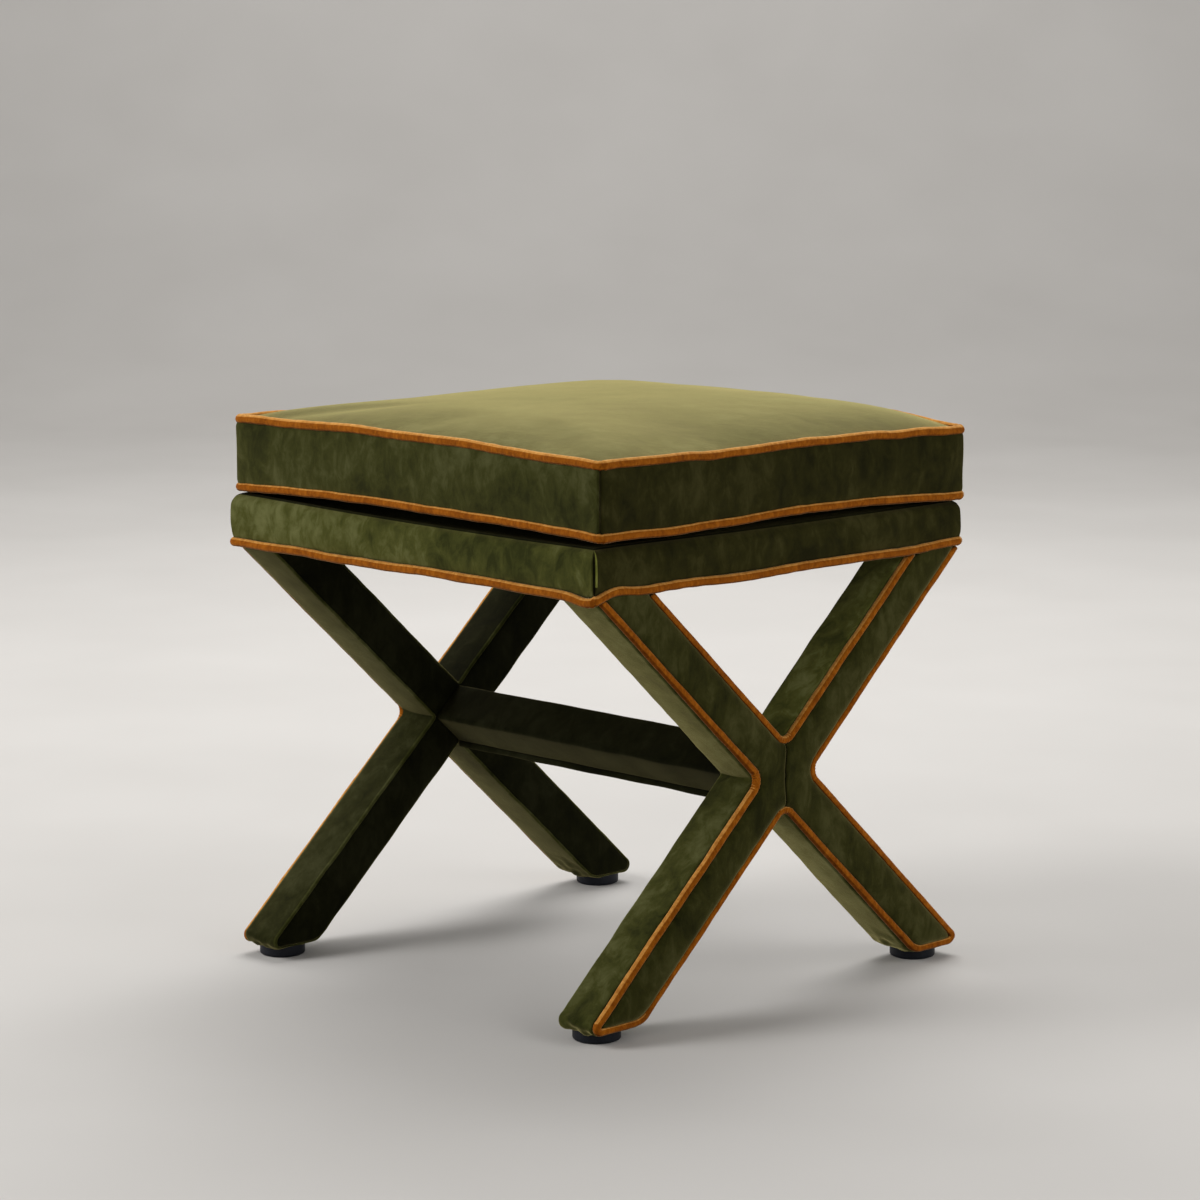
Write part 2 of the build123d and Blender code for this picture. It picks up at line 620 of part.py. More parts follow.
def cushion_welt(z, lift):
    """Closed welt whose four sides bow in and up, joined by tangent corner arcs."""
    x, y = cushion_corners(WELT_SINK)
    turn = CUSHION_CORNER_RADIUS - WELT_SINK
    bow = CUSHION_DRAW_IN
    sides = [
        ThreePointArc((turn - x, -y, z), (0, bow - y, z + lift), (x - turn, -y, z)),
        ThreePointArc((x, turn - y, z), (x - bow, 0, z + lift), (x, y - turn, z)),
        ThreePointArc((x - turn, y, z), (0, y - bow, z + lift), (turn - x, y, z)),
        ThreePointArc((-x, y - turn, z), (bow - x, 0, z + lift), (-x, turn - y, z)),
    ]
    edges = []
    for first, second in zip(sides, sides[1:] + sides[:1]):
        edges += [first, TangentArc(first @ 1, second @ 0, tangent=first % 1)]
    wire = Wire([edge.edges()[0] for edge in edges])
    return sweep(Plane(wire @ 0, z_dir=wire % 0) * Circle(SEAT_WELT / 2), path=wire)


nodes["cushion_bottom_welt"] = cushion_welt(bottom_welt_z, BOTTOM_LIFT)
nodes["cushion_top_welt"] = cushion_welt(top_welt_z, TOP_LIFT)


# Boxing strips, whose edges follow the two welts
def boxing_profile(half):
    """Side view of a boxing strip between the two lifted welts."""
    low = bottom_welt_z + SEAT_WELT / 2 + WELT_GAP
    high = top_welt_z - SEAT_WELT / 2 - WELT_GAP
    turn = half - 2 * CUSHION_CORNER_RADIUS
    lower = ThreePointArc((-turn, low), (0, low + BOTTOM_LIFT), (turn, low))
    upper = ThreePointArc((turn, high), (0, high + TOP_LIFT), (-turn, high))
    right = Polyline(lower @ 1, (half, low), (half, high - WELT_GAP), upper @ 0)
    left = Polyline(upper @ 1, (-half, high - WELT_GAP), (-half, low), lower @ 0)
    return make_face(lower.edges() + right.edges() + upper.edges() + left.edges())


boxing_tall = (cushion_base, apron_top + cushion_width)
boxing_ring = cushion_plan(0, *boxing_tall) - cushion_plan(VELVET, *boxing_tall)


def boxing_side(length, width, turn):
    """Boxing along one side between two mitred corner seams, turned about Z from the front."""
    half = length / 2
    depth = width / 2
    seam = SEAM_GAP / 2
    wedge = make_face(Polyline((0, 0), (-half + seam, -depth), (half - seam, -depth), close=True))
    view = Plane.XZ * boxing_profile(half)
    strip = extrude(view, depth, dir=(0, -1, 0)) & extrude(wedge, 2 * top_welt_z, dir=(0, 0, 1))
    return (Rot(0, 0, turn) * strip) & boxing_ring


nodes["boxing_front"] = boxing_side(cushion_length, cushion_width, 0)
nodes["boxing_right"] = boxing_side(cushion_width, cushion_length, 90)
nodes["boxing_left"] = boxing_side(cushion_width, cushion_length, -90)
boxing_back = boxing_side(cushion_length, cushion_width, 180)
zip_half = cushion_length / 2 - ZIP_END_SET_IN
slot = box(-zip_half, zip_half, 0, cushion_width, zip_z - ZIP_SLOT / 2, zip_z + ZIP_SLOT / 2)
seam_low = zip_z - SEAM_GAP / 2
seam_high = zip_z + SEAM_GAP / 2
below = box(-cushion_length, cushion_length, 0, cushion_width, 0, seam_high)
above = box(-cushion_length, cushion_length, 0, cushion_width, seam_low, 2 * top_welt_z)
nodes["boxing_back_upper"] = boxing_back - slot - below
nodes["boxing_back_lower"] = boxing_back - slot - above

# Zip, straight behind the bowed boxing
tape_half = zip_half + ZIP_TAPE_END
tapes = []
for side in (1, -1):
    near = zip_z + side * SEAM_GAP / 2
    far = zip_z + side * ZIP_TAPE_WIDTH
    tapes.append(box(-tape_half, tape_half, zip_y - ZIP_TAPE, zip_y, min(near, far), max(near, far)))
nodes["zip_tapes"] = Compound(tapes)
coil_half = zip_half - ZIP_END
coil_z = ZIP_COIL_WIDTH / 2
nodes["zip_coil"] = box(-coil_half, coil_half, zip_y, zip_y + ZIP_COIL_HEIGHT, zip_z - coil_z, zip_z + coil_z)
slider_x = SLIDER_GAP - coil_half
channel_z = coil_z + SLIDER_GAP
channel_y = zip_y + ZIP_COIL_HEIGHT + SLIDER_GAP
slider_z = channel_z + SLIDER_WALL
slider = box(slider_x, slider_x + SLIDER_LENGTH, zip_y + SLIDER_GAP, channel_y + SLIDER_WALL,
             zip_z - slider_z, zip_z + slider_z)
slider = chamfer(slider.edges().filter_by(Axis.Z).group_by(Axis.Y)[-1], SLIDER_WALL / 2)
channel = box(slider_x - SLIDER_GAP, slider_x + SLIDER_LENGTH + SLIDER_GAP, 0, channel_y,
              zip_z - channel_z, zip_z + channel_z)
nodes["zip_slider"] = slider - channel

os.makedirs("parts", exist_ok=True)
for name, shape in nodes.items():
    export_step(shape, f"parts/{name}.step")
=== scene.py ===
import json
from math import asin, atan2, cos, hypot, pi, sin, tan

import bpy
import numpy as np
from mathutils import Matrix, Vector


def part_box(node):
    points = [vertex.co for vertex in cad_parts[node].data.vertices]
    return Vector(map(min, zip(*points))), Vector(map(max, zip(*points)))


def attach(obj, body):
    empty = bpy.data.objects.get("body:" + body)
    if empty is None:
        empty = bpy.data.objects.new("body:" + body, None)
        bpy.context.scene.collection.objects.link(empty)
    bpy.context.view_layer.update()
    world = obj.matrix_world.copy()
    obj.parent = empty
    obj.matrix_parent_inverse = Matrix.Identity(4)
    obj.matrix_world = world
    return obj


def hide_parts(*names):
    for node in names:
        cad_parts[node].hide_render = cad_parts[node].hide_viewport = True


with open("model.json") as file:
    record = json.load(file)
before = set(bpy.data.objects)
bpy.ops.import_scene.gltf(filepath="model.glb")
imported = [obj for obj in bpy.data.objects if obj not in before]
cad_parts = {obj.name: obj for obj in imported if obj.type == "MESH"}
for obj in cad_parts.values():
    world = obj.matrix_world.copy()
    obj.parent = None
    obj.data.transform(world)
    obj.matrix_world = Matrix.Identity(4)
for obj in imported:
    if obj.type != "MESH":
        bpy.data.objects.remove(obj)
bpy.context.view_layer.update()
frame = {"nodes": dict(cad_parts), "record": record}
nodes = frame["nodes"]
scene = bpy.context.scene

# Velvet bench on two crossed-leg frames with a loose box cushion, in metres.
# +Z is up, the crossed frames stand at the two X ends, the front is -Y and the back is +Y.
MM = 0.001


def low(node):
    """Lowest corner of a node's box."""
    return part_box(node)[0]


def high(node):
    """Highest corner of a node's box."""
    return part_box(node)[1]


# Covers
VELVET = 1.2 * MM
WELD_GAP = 0.01 * MM
LEAST_LENGTH = 1e-9
SEAM_DEPTH = 1.5 * MM
SEAM_WIDTH = 0.9 * MM
# Reach of the painted shade that darkens the velvet's colour in creases and in the gap under the cushion
CREASE_SHADE_REACH = 4 * MM
GAP_SHADE_REACH = 11 * MM
WELT_SIDES = 20
# Slopes past which a welt's faces take the painted highlight on top and the painted shade below
WELT_HIGHLIGHT_SLOPE = 0.6
WELT_SHADE_SLOPE = -0.5

# Crossed legs, over their velvet
LEG_WIDTH = 40 * MM
LEG_TOP_SET_IN = 6.807 * MM
LEG_TIP_SET_OUT = 6.193 * MM
CROTCH_RADIUS = 9.5 * MM
INNER_CROTCH_RADIUS = 2.5 * MM
TIP_RADIUS = 6.5 * MM
HEEL_RADIUS = 26 * MM
LEAST_RADIUS = 0.5 * MM
ARRIS = 2.2 * MM
ARRIS_GAP = 0.2 * MM
BAND_PAD = 0.7 * MM
BAND_BULGE = 0.6 * MM
BAND_STEPS = 14
BAND_TURN_IN = ((0.9 * MM, 0.3 * MM), (1.6 * MM, 2.0 * MM))
LEFT_BAND_COVER = 2.6 * MM
FOOT_LOOSE = 26 * MM
EDGE_WAVE_SHARE = 1 / 6
PANEL_INSET = 3.6 * MM
PANEL_RIM_DROP = 3.6 * MM
PANEL_BULGE = 2.1 * MM
PANEL_POWER = 4
PANEL_TUCK = 4 * MM
FOLD_HEIGHT = 0.35 * MM
FOLD_RISE = 1 * MM
FOLD_WIDTH = 1.2 * MM
FOLD_REACH = 16 * MM
BACK_EASE = 3.5 * MM
BACK_EASE_RIM = 4 * MM
BACK_EASE_REACH = 120 * MM
INNER_RIM_DROP = 0.6 * MM
INNER_BULGE = 0.5 * MM
LEG_WELT_INSET = 2.9 * MM
LEG_WELT_SINK = 3.0 * MM

# Stretcher
STRETCHER_WIDTH = 39 * MM
STRETCHER_ROUND = 3 * MM
STRETCHER_BULGE = 0.7 * MM

# Seat box
APRON_CORNER = 5 * MM
APRON_TOP_ROUND = 11 * MM
APRON_TROUGH = 6 * MM
APRON_PADDING = 2 * MM
APRON_TROUGH_IN = 26 * MM
APRON_BULGE = 0.7 * MM
APRON_LEFT_FLARE = 3 * MM
APRON_WELT_SINK = 1.2 * MM
APRON_HEM = ((9.2, -0.3), (6.0, -0.3), (4.2, 0.3), (2.6, 2.0), (1.6, 4.6), (0.9, 7.4), (0.3, 9.5))
APRON_SIDE_ROWS = 8
APRON_ROUND_ROWS = 9
# Rows at the apron's top that take painted shade, and faces past the near corner seam that take a painted
# highlight
APRON_SHADE_ROWS = 4
APRON_HIGHLIGHT_STEPS = 3

# Cushion
CUSHION_CORNER = 6 * MM
CUSHION_DRAW_IN = 3 * MM
CUSHION_END_FLARE = 4.5 * MM
CUSHION_BACK_FLARE = 6 * MM
CUSHION_WELT_SINK = 2.4 * MM
CUSHION_CROWN = 15 * MM
CROWN_POWER = 8
INFLATE_START = 0.9
INFLATE_CAP = 4 * MM
INFLATE_PRESSURE = 0.8
INFLATE_FRAMES = 20
ZIP_SLOT = 10 * MM
ZIP_SLOT_END = 6 * MM

# Unevenness of the velvet: height (for lumps a share of the radius), size of the bumps and seed
PANEL_PUCKERS = (0.25 * MM, 9 * MM, 11)
PANEL_DENTS = (0.22 * MM, 42 * MM, 12)
INNER_DENTS = (0.2 * MM, 36 * MM, 13)
EDGE_WAVES = (0.5 * MM, 24 * MM, 14)
BAND_DENTS = (0.22 * MM, 40 * MM, 21)
FOOT_FOLDS = (1.2 * MM, 11 * MM, 22)
LEG_WELT_SWAY = (0.35 * MM, 60 * MM, 31)
LEG_WELT_LUMPS = (0.03, 14 * MM, 32)
STRETCHER_DENTS = (0.3 * MM, 48 * MM, 41)
LIP_SWAY = (0.5 * MM, 80 * MM, 42)
LIP_HANG = (0.25 * MM, 60 * MM, 43)
APRON_DENTS = (0.5 * MM, 60 * MM, 51)
APRON_PUCKERS = (0.25 * MM, 16 * MM, 52)
TOP_DENTS = (0.08 * MM, 70 * MM, 71)
TOP_FINE_DENTS = (0.04 * MM, 28 * MM, 72)
BOXING_DENTS = (0.3 * MM, 24 * MM, 73)
UNEVEN_WAVES = 7
UNEVEN_SPREAD = (0.7, 1.6)

# Unevenness of the seat's welts, whose seeds come with each welt, and gathers of all welts
SEAT_WELT_RISE = (0.35 * MM, 45 * MM)
SEAT_WELT_SWAY = (0.3 * MM, 30 * MM)
SEAT_WELT_LUMPS = (0.03, 16 * MM)
APRON_WELT_SEED = 61
TOP_WELT_SEED = 81
BOTTOM_WELT_SEED = 84
GATHER = 0.05
SEAT_GATHER_PITCH = 3.6 * MM
LEG_GATHER_PITCH = 3.2 * MM
CROTCH_GATHER = 15 * MM
CORNER_GATHER = 0.045
WELT_STEPS = (220, 28)

# Levels and faces read from the frame
seat_half_x, seat_half_y, apron_top = high("apron_cover")
deck_top = high("deck_panel").z
seat_underside = low("apron_welt").z
seat_welt = high("apron_welt").z - seat_underside
apron_welt_z = seat_underside + seat_welt / 2
leg_welt = high("side_welt_right").x - low("side_welt_right").x
frame_out = high("outer_panel_front_right").x
frame_in = low("inner_panel_right").x
leg_top = high("inner_panel_right").z
leg_foot = low("inner_panel_right").z
cushion_half_x = high("boxing_right").x
cushion_half_y = -low("boxing_front").y
cushion_base = low("cushion_bottom_panel").z
bottom_welt_z = low("cushion_bottom_welt").z + seat_welt / 2
top_welt_z = low("cushion_top_welt").z + seat_welt / 2
zip_z = (low("zip_coil").z + high("zip_coil").z) / 2
zip_slot_half = high("zip_coil").x + ZIP_SLOT_END

# Lines of the crossed legs, as in the frame
leg_rise = leg_top - leg_foot
leg_reach = 2 * seat_half_y - LEG_TOP_SET_IN + LEG_TIP_SET_OUT
leg_angle = atan2(leg_rise, leg_reach) + asin(LEG_WIDTH / hypot(leg_rise, leg_reach))
leg_sin = sin(leg_angle)
leg_cos = cos(leg_angle)
leg_across = LEG_WIDTH / 2 / leg_sin
leg_top_y = seat_half_y - LEG_TOP_SET_IN - leg_across
leg_foot_y = seat_half_y + LEG_TIP_SET_OUT - leg_across
cross_z = leg_foot + leg_rise * leg_foot_y / (leg_top_y + leg_foot_y)


# Meshes
def placed(name, data):
    """New object in the scene."""
    thing = bpy.data.objects.new(name, data)
    scene.collection.objects.link(thing)
    return thing


def sheet(name, points, faces):
    """New smooth mesh object."""
    mesh = bpy.data.meshes.new(name)
    mesh.from_pydata(np.asarray(points).tolist(), [], faces)
    mesh.update()
    mesh.shade_smooth()
    return placed(name, mesh)


def make_piece(name, points, faces, finishes, slot, body, *stands_for):
    """Piece that rides on a body and stands for CAD nodes."""
    piece = sheet(name, points, faces)
    for finish in finishes:
        piece.data.materials.append(finish)
    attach(piece, body)
    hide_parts(*stands_for)
    return piece


def velvet_sheet(name, points, faces, finishes, body, *stands_for):
    """Piece of green velvet, thickened inwards."""
    piece = make_piece(f"{name}_velvet", points, faces, finishes, "velvet_green", body, *stands_for)
    solid = piece.modifiers.new("thickness", "SOLIDIFY")
    solid.thickness = VELVET
    solid.offset = -1
    return piece


def grid_faces(rows, columns, start=0):
    """Quads over a grid of points that is stored row by row."""
    faces = []
    for row in range(rows - 1):
        first = start + row * columns
        for a in range(first, first + columns - 1):
            faces.append((a, a + 1, a + columns + 1, a + columns))
    return faces


def loft_faces(rings):
    """Quads from ring to ring of point places, all the way round."""
    faces = []
    for here, following in zip(rings, rings[1:]):
        for corners in zip(here, np.roll(here, -1), np.roll(following, -1), following):
            faces.append(tuple(int(i) for i in corners))
    return faces


def trimmed(points, faces):
    """The faces with only the points that they use."""
    used = sorted({i for face in faces for i in face})
    place = {old: new for new, old in enumerate(used)}
    return np.asarray(points)[used], [tuple(place[i] for i in face) for face in faces]


def facing(points, faces, direction):
    """The faces, turned over if they look away from a direction."""
    points = np.asarray(points)
    total = np.zeros(3)
    for face in faces:
        a, b, c = points[list(face[:3])]
        total += np.cross(b - a, c - a)
    return faces if total @ np.asarray(direction) > 0 else [face[::-1] for face in faces]


def welded(points, faces):
    """Points and faces with points that coincide made one."""
    keys = np.round(np.asarray(points) / WELD_GAP).astype(int)
    first, places = np.unique(keys, axis=0, return_index=True, return_inverse=True)[1:]
    places = places.reshape(-1)
    made = []
    for face in faces:
        corners = list(dict.fromkeys(int(places[i]) for i in face))
        if len(corners) > 2:
            made.append(tuple(corners))
    return np.asarray(points)[first], made


def bell(distance, width):
    """1 at no distance, fading to 0 over a width."""
    return np.exp(-((np.asarray(distance) / width) ** 2))


def unit(vectors):
    """A vector, or each of a list of vectors, at length 1."""
    return vectors / np.maximum(np.linalg.norm(vectors, axis=-1), LEAST_LENGTH)[..., None]


def uneven(points, kind):
    """Smooth uneven height over points."""
    height, size, seed = kind
    rng = np.random.default_rng(seed)
    total = np.zeros(points.shape[:-1])
    for _ in range(UNEVEN_WAVES):
        direction = unit(rng.normal(size=3))
        pitch = size * rng.uniform(*UNEVEN_SPREAD)
        total += np.sin(points @ direction * (2 * pi / pitch) + rng.uniform(0, 2 * pi))
    return height * total / UNEVEN_WAVES ** 0.5


def rounded_path(corners, radii, runs, turns):
    """Points along straight runs and round corners, as many for any size."""
    corners = [np.array(corner, float) for corner in corners]
    path = [corners[0]]
    start = corners[0]
    for here, before, after, radius, run, turn in zip(corners[1:], corners, corners[2:], radii, runs, turns):
        back = unit(before - here)
        ahead = unit(after - here)
        half = np.arccos(np.clip(back @ ahead, -1, 1)) / 2
        centre = here + unit(back + ahead) * radius / sin(half)
        first = here + back * radius / tan(half)
        last = here + ahead * radius / tan(half)
        path += [start + (first - start) * share for share in np.linspace(0, 1, run + 1)[1:]]
        arm = first - centre
        sweep = (pi - 2 * half) * np.sign(back[0] * ahead[1] - back[1] * ahead[0]) * -1
        for angle in np.linspace(0, sweep, turn + 1)[1:]:
            spun = (arm[0] * cos(angle) - arm[1] * sin(angle), arm[0] * sin(angle) + arm[1] * cos(angle))
            path.append(centre + np.array(spun))
        start = last
    path += [start + (corners[-1] - start) * share for share in np.linspace(0, 1, runs[-1] + 1)[1:]]
    return np.array(path)


def tube(path, radius, reference, sides, closed):
    """Points and faces of a round cord with a radius for each point."""
    tangent = unit(np.roll(path, -1, 0) - np.roll(path, 1, 0) if closed else np.gradient(path, axis=0))
    side = unit(np.cross(tangent, reference))
    up = np.cross(side, tangent)
    turn = np.linspace(0, 2 * pi, sides, endpoint=False)
    ring = np.cos(turn)[None, :, None] * side[:, None] + np.sin(turn)[None, :, None] * up[:, None]
    points = path[:, None] + ring * radius[:, None, None]
    rings = np.arange(len(path) * sides).reshape(-1, sides)
    ends = [] if closed else [rings[0].tolist(), rings[-1][::-1].tolist()]
    if closed:
        rings = np.concatenate([rings, rings[:1]])
    faces = [(a, d, c, b) for a, b, c, d in loft_faces(rings)]
    return points.reshape(-1, 3), faces + ends


def welt_piece(node, path, radius, reference, body, closed=False):
    """Welt with a painted highlight on its upward faces and painted shade on its downward faces."""
    points, faces = tube(path, radius, reference, WELT_SIDES, closed)
    finishes = (rust, rust_painted_highlight, rust_painted_shade)
    piece = make_piece(f"{node}_cord", points, faces, finishes, "velvet_rust", body, node)
    for face in piece.data.polygons:
        if face.normal.z > WELT_HIGHLIGHT_SLOPE:
            face.material_index = finishes.index(rust_painted_highlight)
        elif face.normal.z < WELT_SHADE_SLOPE:
            face.material_index = finishes.index(rust_painted_shade)


def along(path):
    """Distance along a path at each of its points."""
    steps = np.linalg.norm(np.diff(path, axis=0), axis=1)
    return np.concatenate([[0], np.cumsum(steps)])


# Materials, with the velvet's scales in features per metre
EVEN = (1, 1, 1)
NAP_PATCHES = 9
NAP_STROKES = 70
NAP_STRETCH = (1, 1, 0.6)
NAP_STOPS = (0.39, 0.50, 0.61)
FINE_PILE = 2200
COARSE_PILE = 420
PILE_HEIGHT = 1.6 * MM
GRAIN_HEIGHT = 0.3 * MM
GREEN_NAP = ((0.010, 0.012, 0.002), (0.028, 0.030, 0.006), (0.058, 0.060, 0.021))
GREEN_SHEEN = (0.93, 0.81, 0.34)
RUST_SHEEN = (1.0, 0.82, 0.45)


def set_inputs(node, values):
    """Settings of a shader node, by the names of its inputs."""
    for name, value in values.items():
        node.inputs[name].default_value = value


def new_material(name, roughness):
    """Empty node material and its tree and shader."""
    material = bpy.data.materials.new(name)
    material.use_nodes = True
    shader = material.node_tree.nodes["Principled BSDF"]
    shader.inputs["Roughness"].default_value = roughness
    return material, material.node_tree, shader


def stretched(tree, scale):
    """Object coordinates, stretched along the axes."""
    place = tree.nodes.new("ShaderNodeTexCoord")
    mapping = tree.nodes.new("ShaderNodeMapping")
    mapping.inputs["Scale"].default_value = scale
    tree.links.new(place.outputs["Object"], mapping.inputs["Vector"])
    return mapping.outputs["Vector"]


def noise(tree, vector, scale, detail=3.0, distortion=0.0, roughness=0.5):
    """Noise texture's value at a scale."""
    texture = tree.nodes.new("ShaderNodeTexNoise")
    set_inputs(texture, {"Scale": scale, "Detail": detail, "Distortion": distortion, "Roughness": roughness})
    tree.links.new(vector, texture.inputs["Vector"])
    return texture.outputs["Fac"]


def mixed(tree, first, second, share):
    """Two values mixed."""
    mix = tree.nodes.new("ShaderNodeMix")
    mix.inputs["Factor"].default_value = share
    tree.links.new(first, mix.inputs["A"])
    tree.links.new(second, mix.inputs["B"])
    return mix.outputs["Result"]


def ramp(tree, value, stops):
    """Colour ramp from places and colours."""
    node = tree.nodes.new("ShaderNodeValToRGB")
    elements = node.color_ramp.elements
    while len(elements) < len(stops):
        elements.new(0.5)
    for element, (place, colour) in zip(elements, stops):
        element.position = place
        element.color = (*colour, 1)
    tree.links.new(value, node.inputs["Fac"])
    return node.outputs["Color"]


def bump(tree, shader, height, strength, distance):
    """Surface relief from a height."""
    node = tree.nodes.new("ShaderNodeBump")
    set_inputs(node, {"Strength": strength, "Distance": distance})
    tree.links.new(height, node.inputs["Height"])
    tree.links.new(node.outputs["Normal"], shader.inputs["Normal"])


def painted_crease_shade(tree, colour, reach):
    """Colour with painted shade: darker in creases, gaps and hollows, by how closely other surfaces hide each
    point.
    """
    hollow = tree.nodes.new("ShaderNodeAmbientOcclusion")
    hollow.inputs["Distance"].default_value = reach
    shade = ramp(tree, hollow.outputs["AO"], ((0.3, (0.03, 0.03, 0.03)), (0.8, (1, 1, 1))))
    mix = tree.nodes.new("ShaderNodeMix")
    mix.data_type = "RGBA"
    mix.blend_type = "MULTIPLY"
    mix.inputs[0].default_value = 1
    tree.links.new(colour, mix.inputs[6])
    tree.links.new(shade, mix.inputs[7])
    return mix.outputs[2]


def velvet(name, nap, tint, sheen, fineness=1.0, streaky=0.45, pile_angle=0.35, crease=CREASE_SHADE_REACH):
    """Velvet with a brushed nap, painted shade in its creases and a fine pile."""
    material, tree, shader = new_material(name, 0.9)
    flat = stretched(tree, EVEN)
    patches = noise(tree, flat, NAP_PATCHES * fineness, 9, 0.5, 0.62)
    strokes = noise(tree, stretched(tree, NAP_STRETCH), NAP_STROKES * fineness, 9, 0.5, 0.66)
    lean = mixed(tree, patches, strokes, streaky)
    colour = ramp(tree, lean, list(zip(NAP_STOPS, nap)))
    tree.links.new(painted_crease_shade(tree, colour, crease), shader.inputs["Base Color"])
    pile = mixed(tree, noise(tree, flat, FINE_PILE, 2), noise(tree, flat, COARSE_PILE, 3), 0.45)
    bump(tree, shader, mixed(tree, pile, lean, 0.8), 0.4, PILE_HEIGHT)
    set_inputs(shader, {"Specular IOR Level": 0.05, "Sheen Weight": sheen})
    set_inputs(shader, {"Sheen Roughness": pile_angle, "Sheen Tint": (*tint, 1)})
    return material


def grained(name, dark, light, scale, roughness, gloss=0.5, stretch=EVEN, swirl=0.0, relief=0.4):
    """Wood, cloth, foam, padding or plastic with a fine grain."""
    material, tree, shader = new_material(name, roughness)
    shader.inputs["Specular IOR Level"].default_value = gloss
    grain = noise(tree, stretched(tree, stretch), scale, 5 if swirl else 3, swirl)
    tree.links.new(ramp(tree, grain, ((0.35, dark), (0.65, light))), shader.inputs["Base Color"])
    bump(tree, shader, grain, relief, GRAIN_HEIGHT)
    return material


def wood(name, dark, light, stretch, scale, roughness):
    """Wood with long swirling grain."""
    return grained(name, dark, light, scale, roughness, stretch=stretch, swirl=0.6, relief=0.15)


def metal(name, dark, light, roughness):
    """Plated metal with faint wear."""
    material, tree, shader = new_material(name, roughness)
    wear = noise(tree, stretched(tree, EVEN), 260, 4)
    tree.links.new(ramp(tree, wear, ((0.3, dark), (0.7, light))), shader.inputs["Base Color"])
    shader.inputs["Metallic"].default_value = 1.0
    return material


def green_velvet(name, shade, sheen, warmth=1.0, crease=CREASE_SHADE_REACH):
    """Green velvet at a shade and warmth, for the lit and shaded copies that carry painted light and shade.
    """
    nap = np.array(GREEN_NAP) * shade * (warmth, 1, warmth ** -2)
    return velvet(name, nap, GREEN_SHEEN, sheen, crease=crease)


def rust_velvet(name, nap, sheen):
    """Rust velvet of the welts."""
    return velvet(name, nap, RUST_SHEEN, sheen, 4.0, 0.72, 0.28)


# Copies of the green velvet after the first are painted light and shade: each shade, sheen and warmth is set
# for how the light falls on the pieces it covers, lighter on lit sides and darker, warmer on shaded ones
green = green_velvet("velvet_green", 1.25, 1.0)
green_lit_front = green_velvet("velvet_green_lit_front", 1.25, 0.9)
green_shaded_right = green_velvet("velvet_green_shaded_right", 0.66, 0.8, 1.12)
green_shaded_left_band = green_velvet("velvet_green_shaded_left_band", 0.6, 0.45)
green_lit_right_band = green_velvet("velvet_green_lit_right_band", 1.65, 0.9)
green_lit_right_crotch = green_velvet("velvet_green_lit_right_crotch", 3.8, 0.8)
# Lighter copies for the legs' inner edges, the right frame's and the left frame's: worn pile and painted
# sheen highlight
green_edge_wear_and_highlight = green_velvet("velvet_green_edge_wear_and_highlight", 2.6, 0.9)
green_edge_wear_and_highlight_left = green_velvet("velvet_green_edge_wear_and_highlight_left", 1.3, 0.7)
green_shaded_panel = green_velvet("velvet_green_shaded_panel", 0.98, 0.8, 1.06)
# Apron copies: a lit front, a shaded right, a painted highlight beside the near corner seam, and a dark copy
# as painted shade over the top under the cushion
apron_lit_front = green_velvet("velvet_green_apron_lit_front", 2.15, 0.9, 1.0, GAP_SHADE_REACH)
apron_shaded_right = green_velvet("velvet_green_apron_shaded_right", 0.7, 0.8, 1.12, GAP_SHADE_REACH)
apron_seam_highlight = green_velvet("velvet_green_apron_seam_highlight", 7.0, 0.9)
# Near-black copy: painted shade for the inner faces, the stretcher, the left crotch band and the cushion's
# underside
green_painted_shade = green_velvet("velvet_green_painted_shade", 0.24, 0.25)
apron_top_shade = green_velvet("velvet_green_apron_top_shade", 0.45, 0.05, 1.0, GAP_SHADE_REACH)
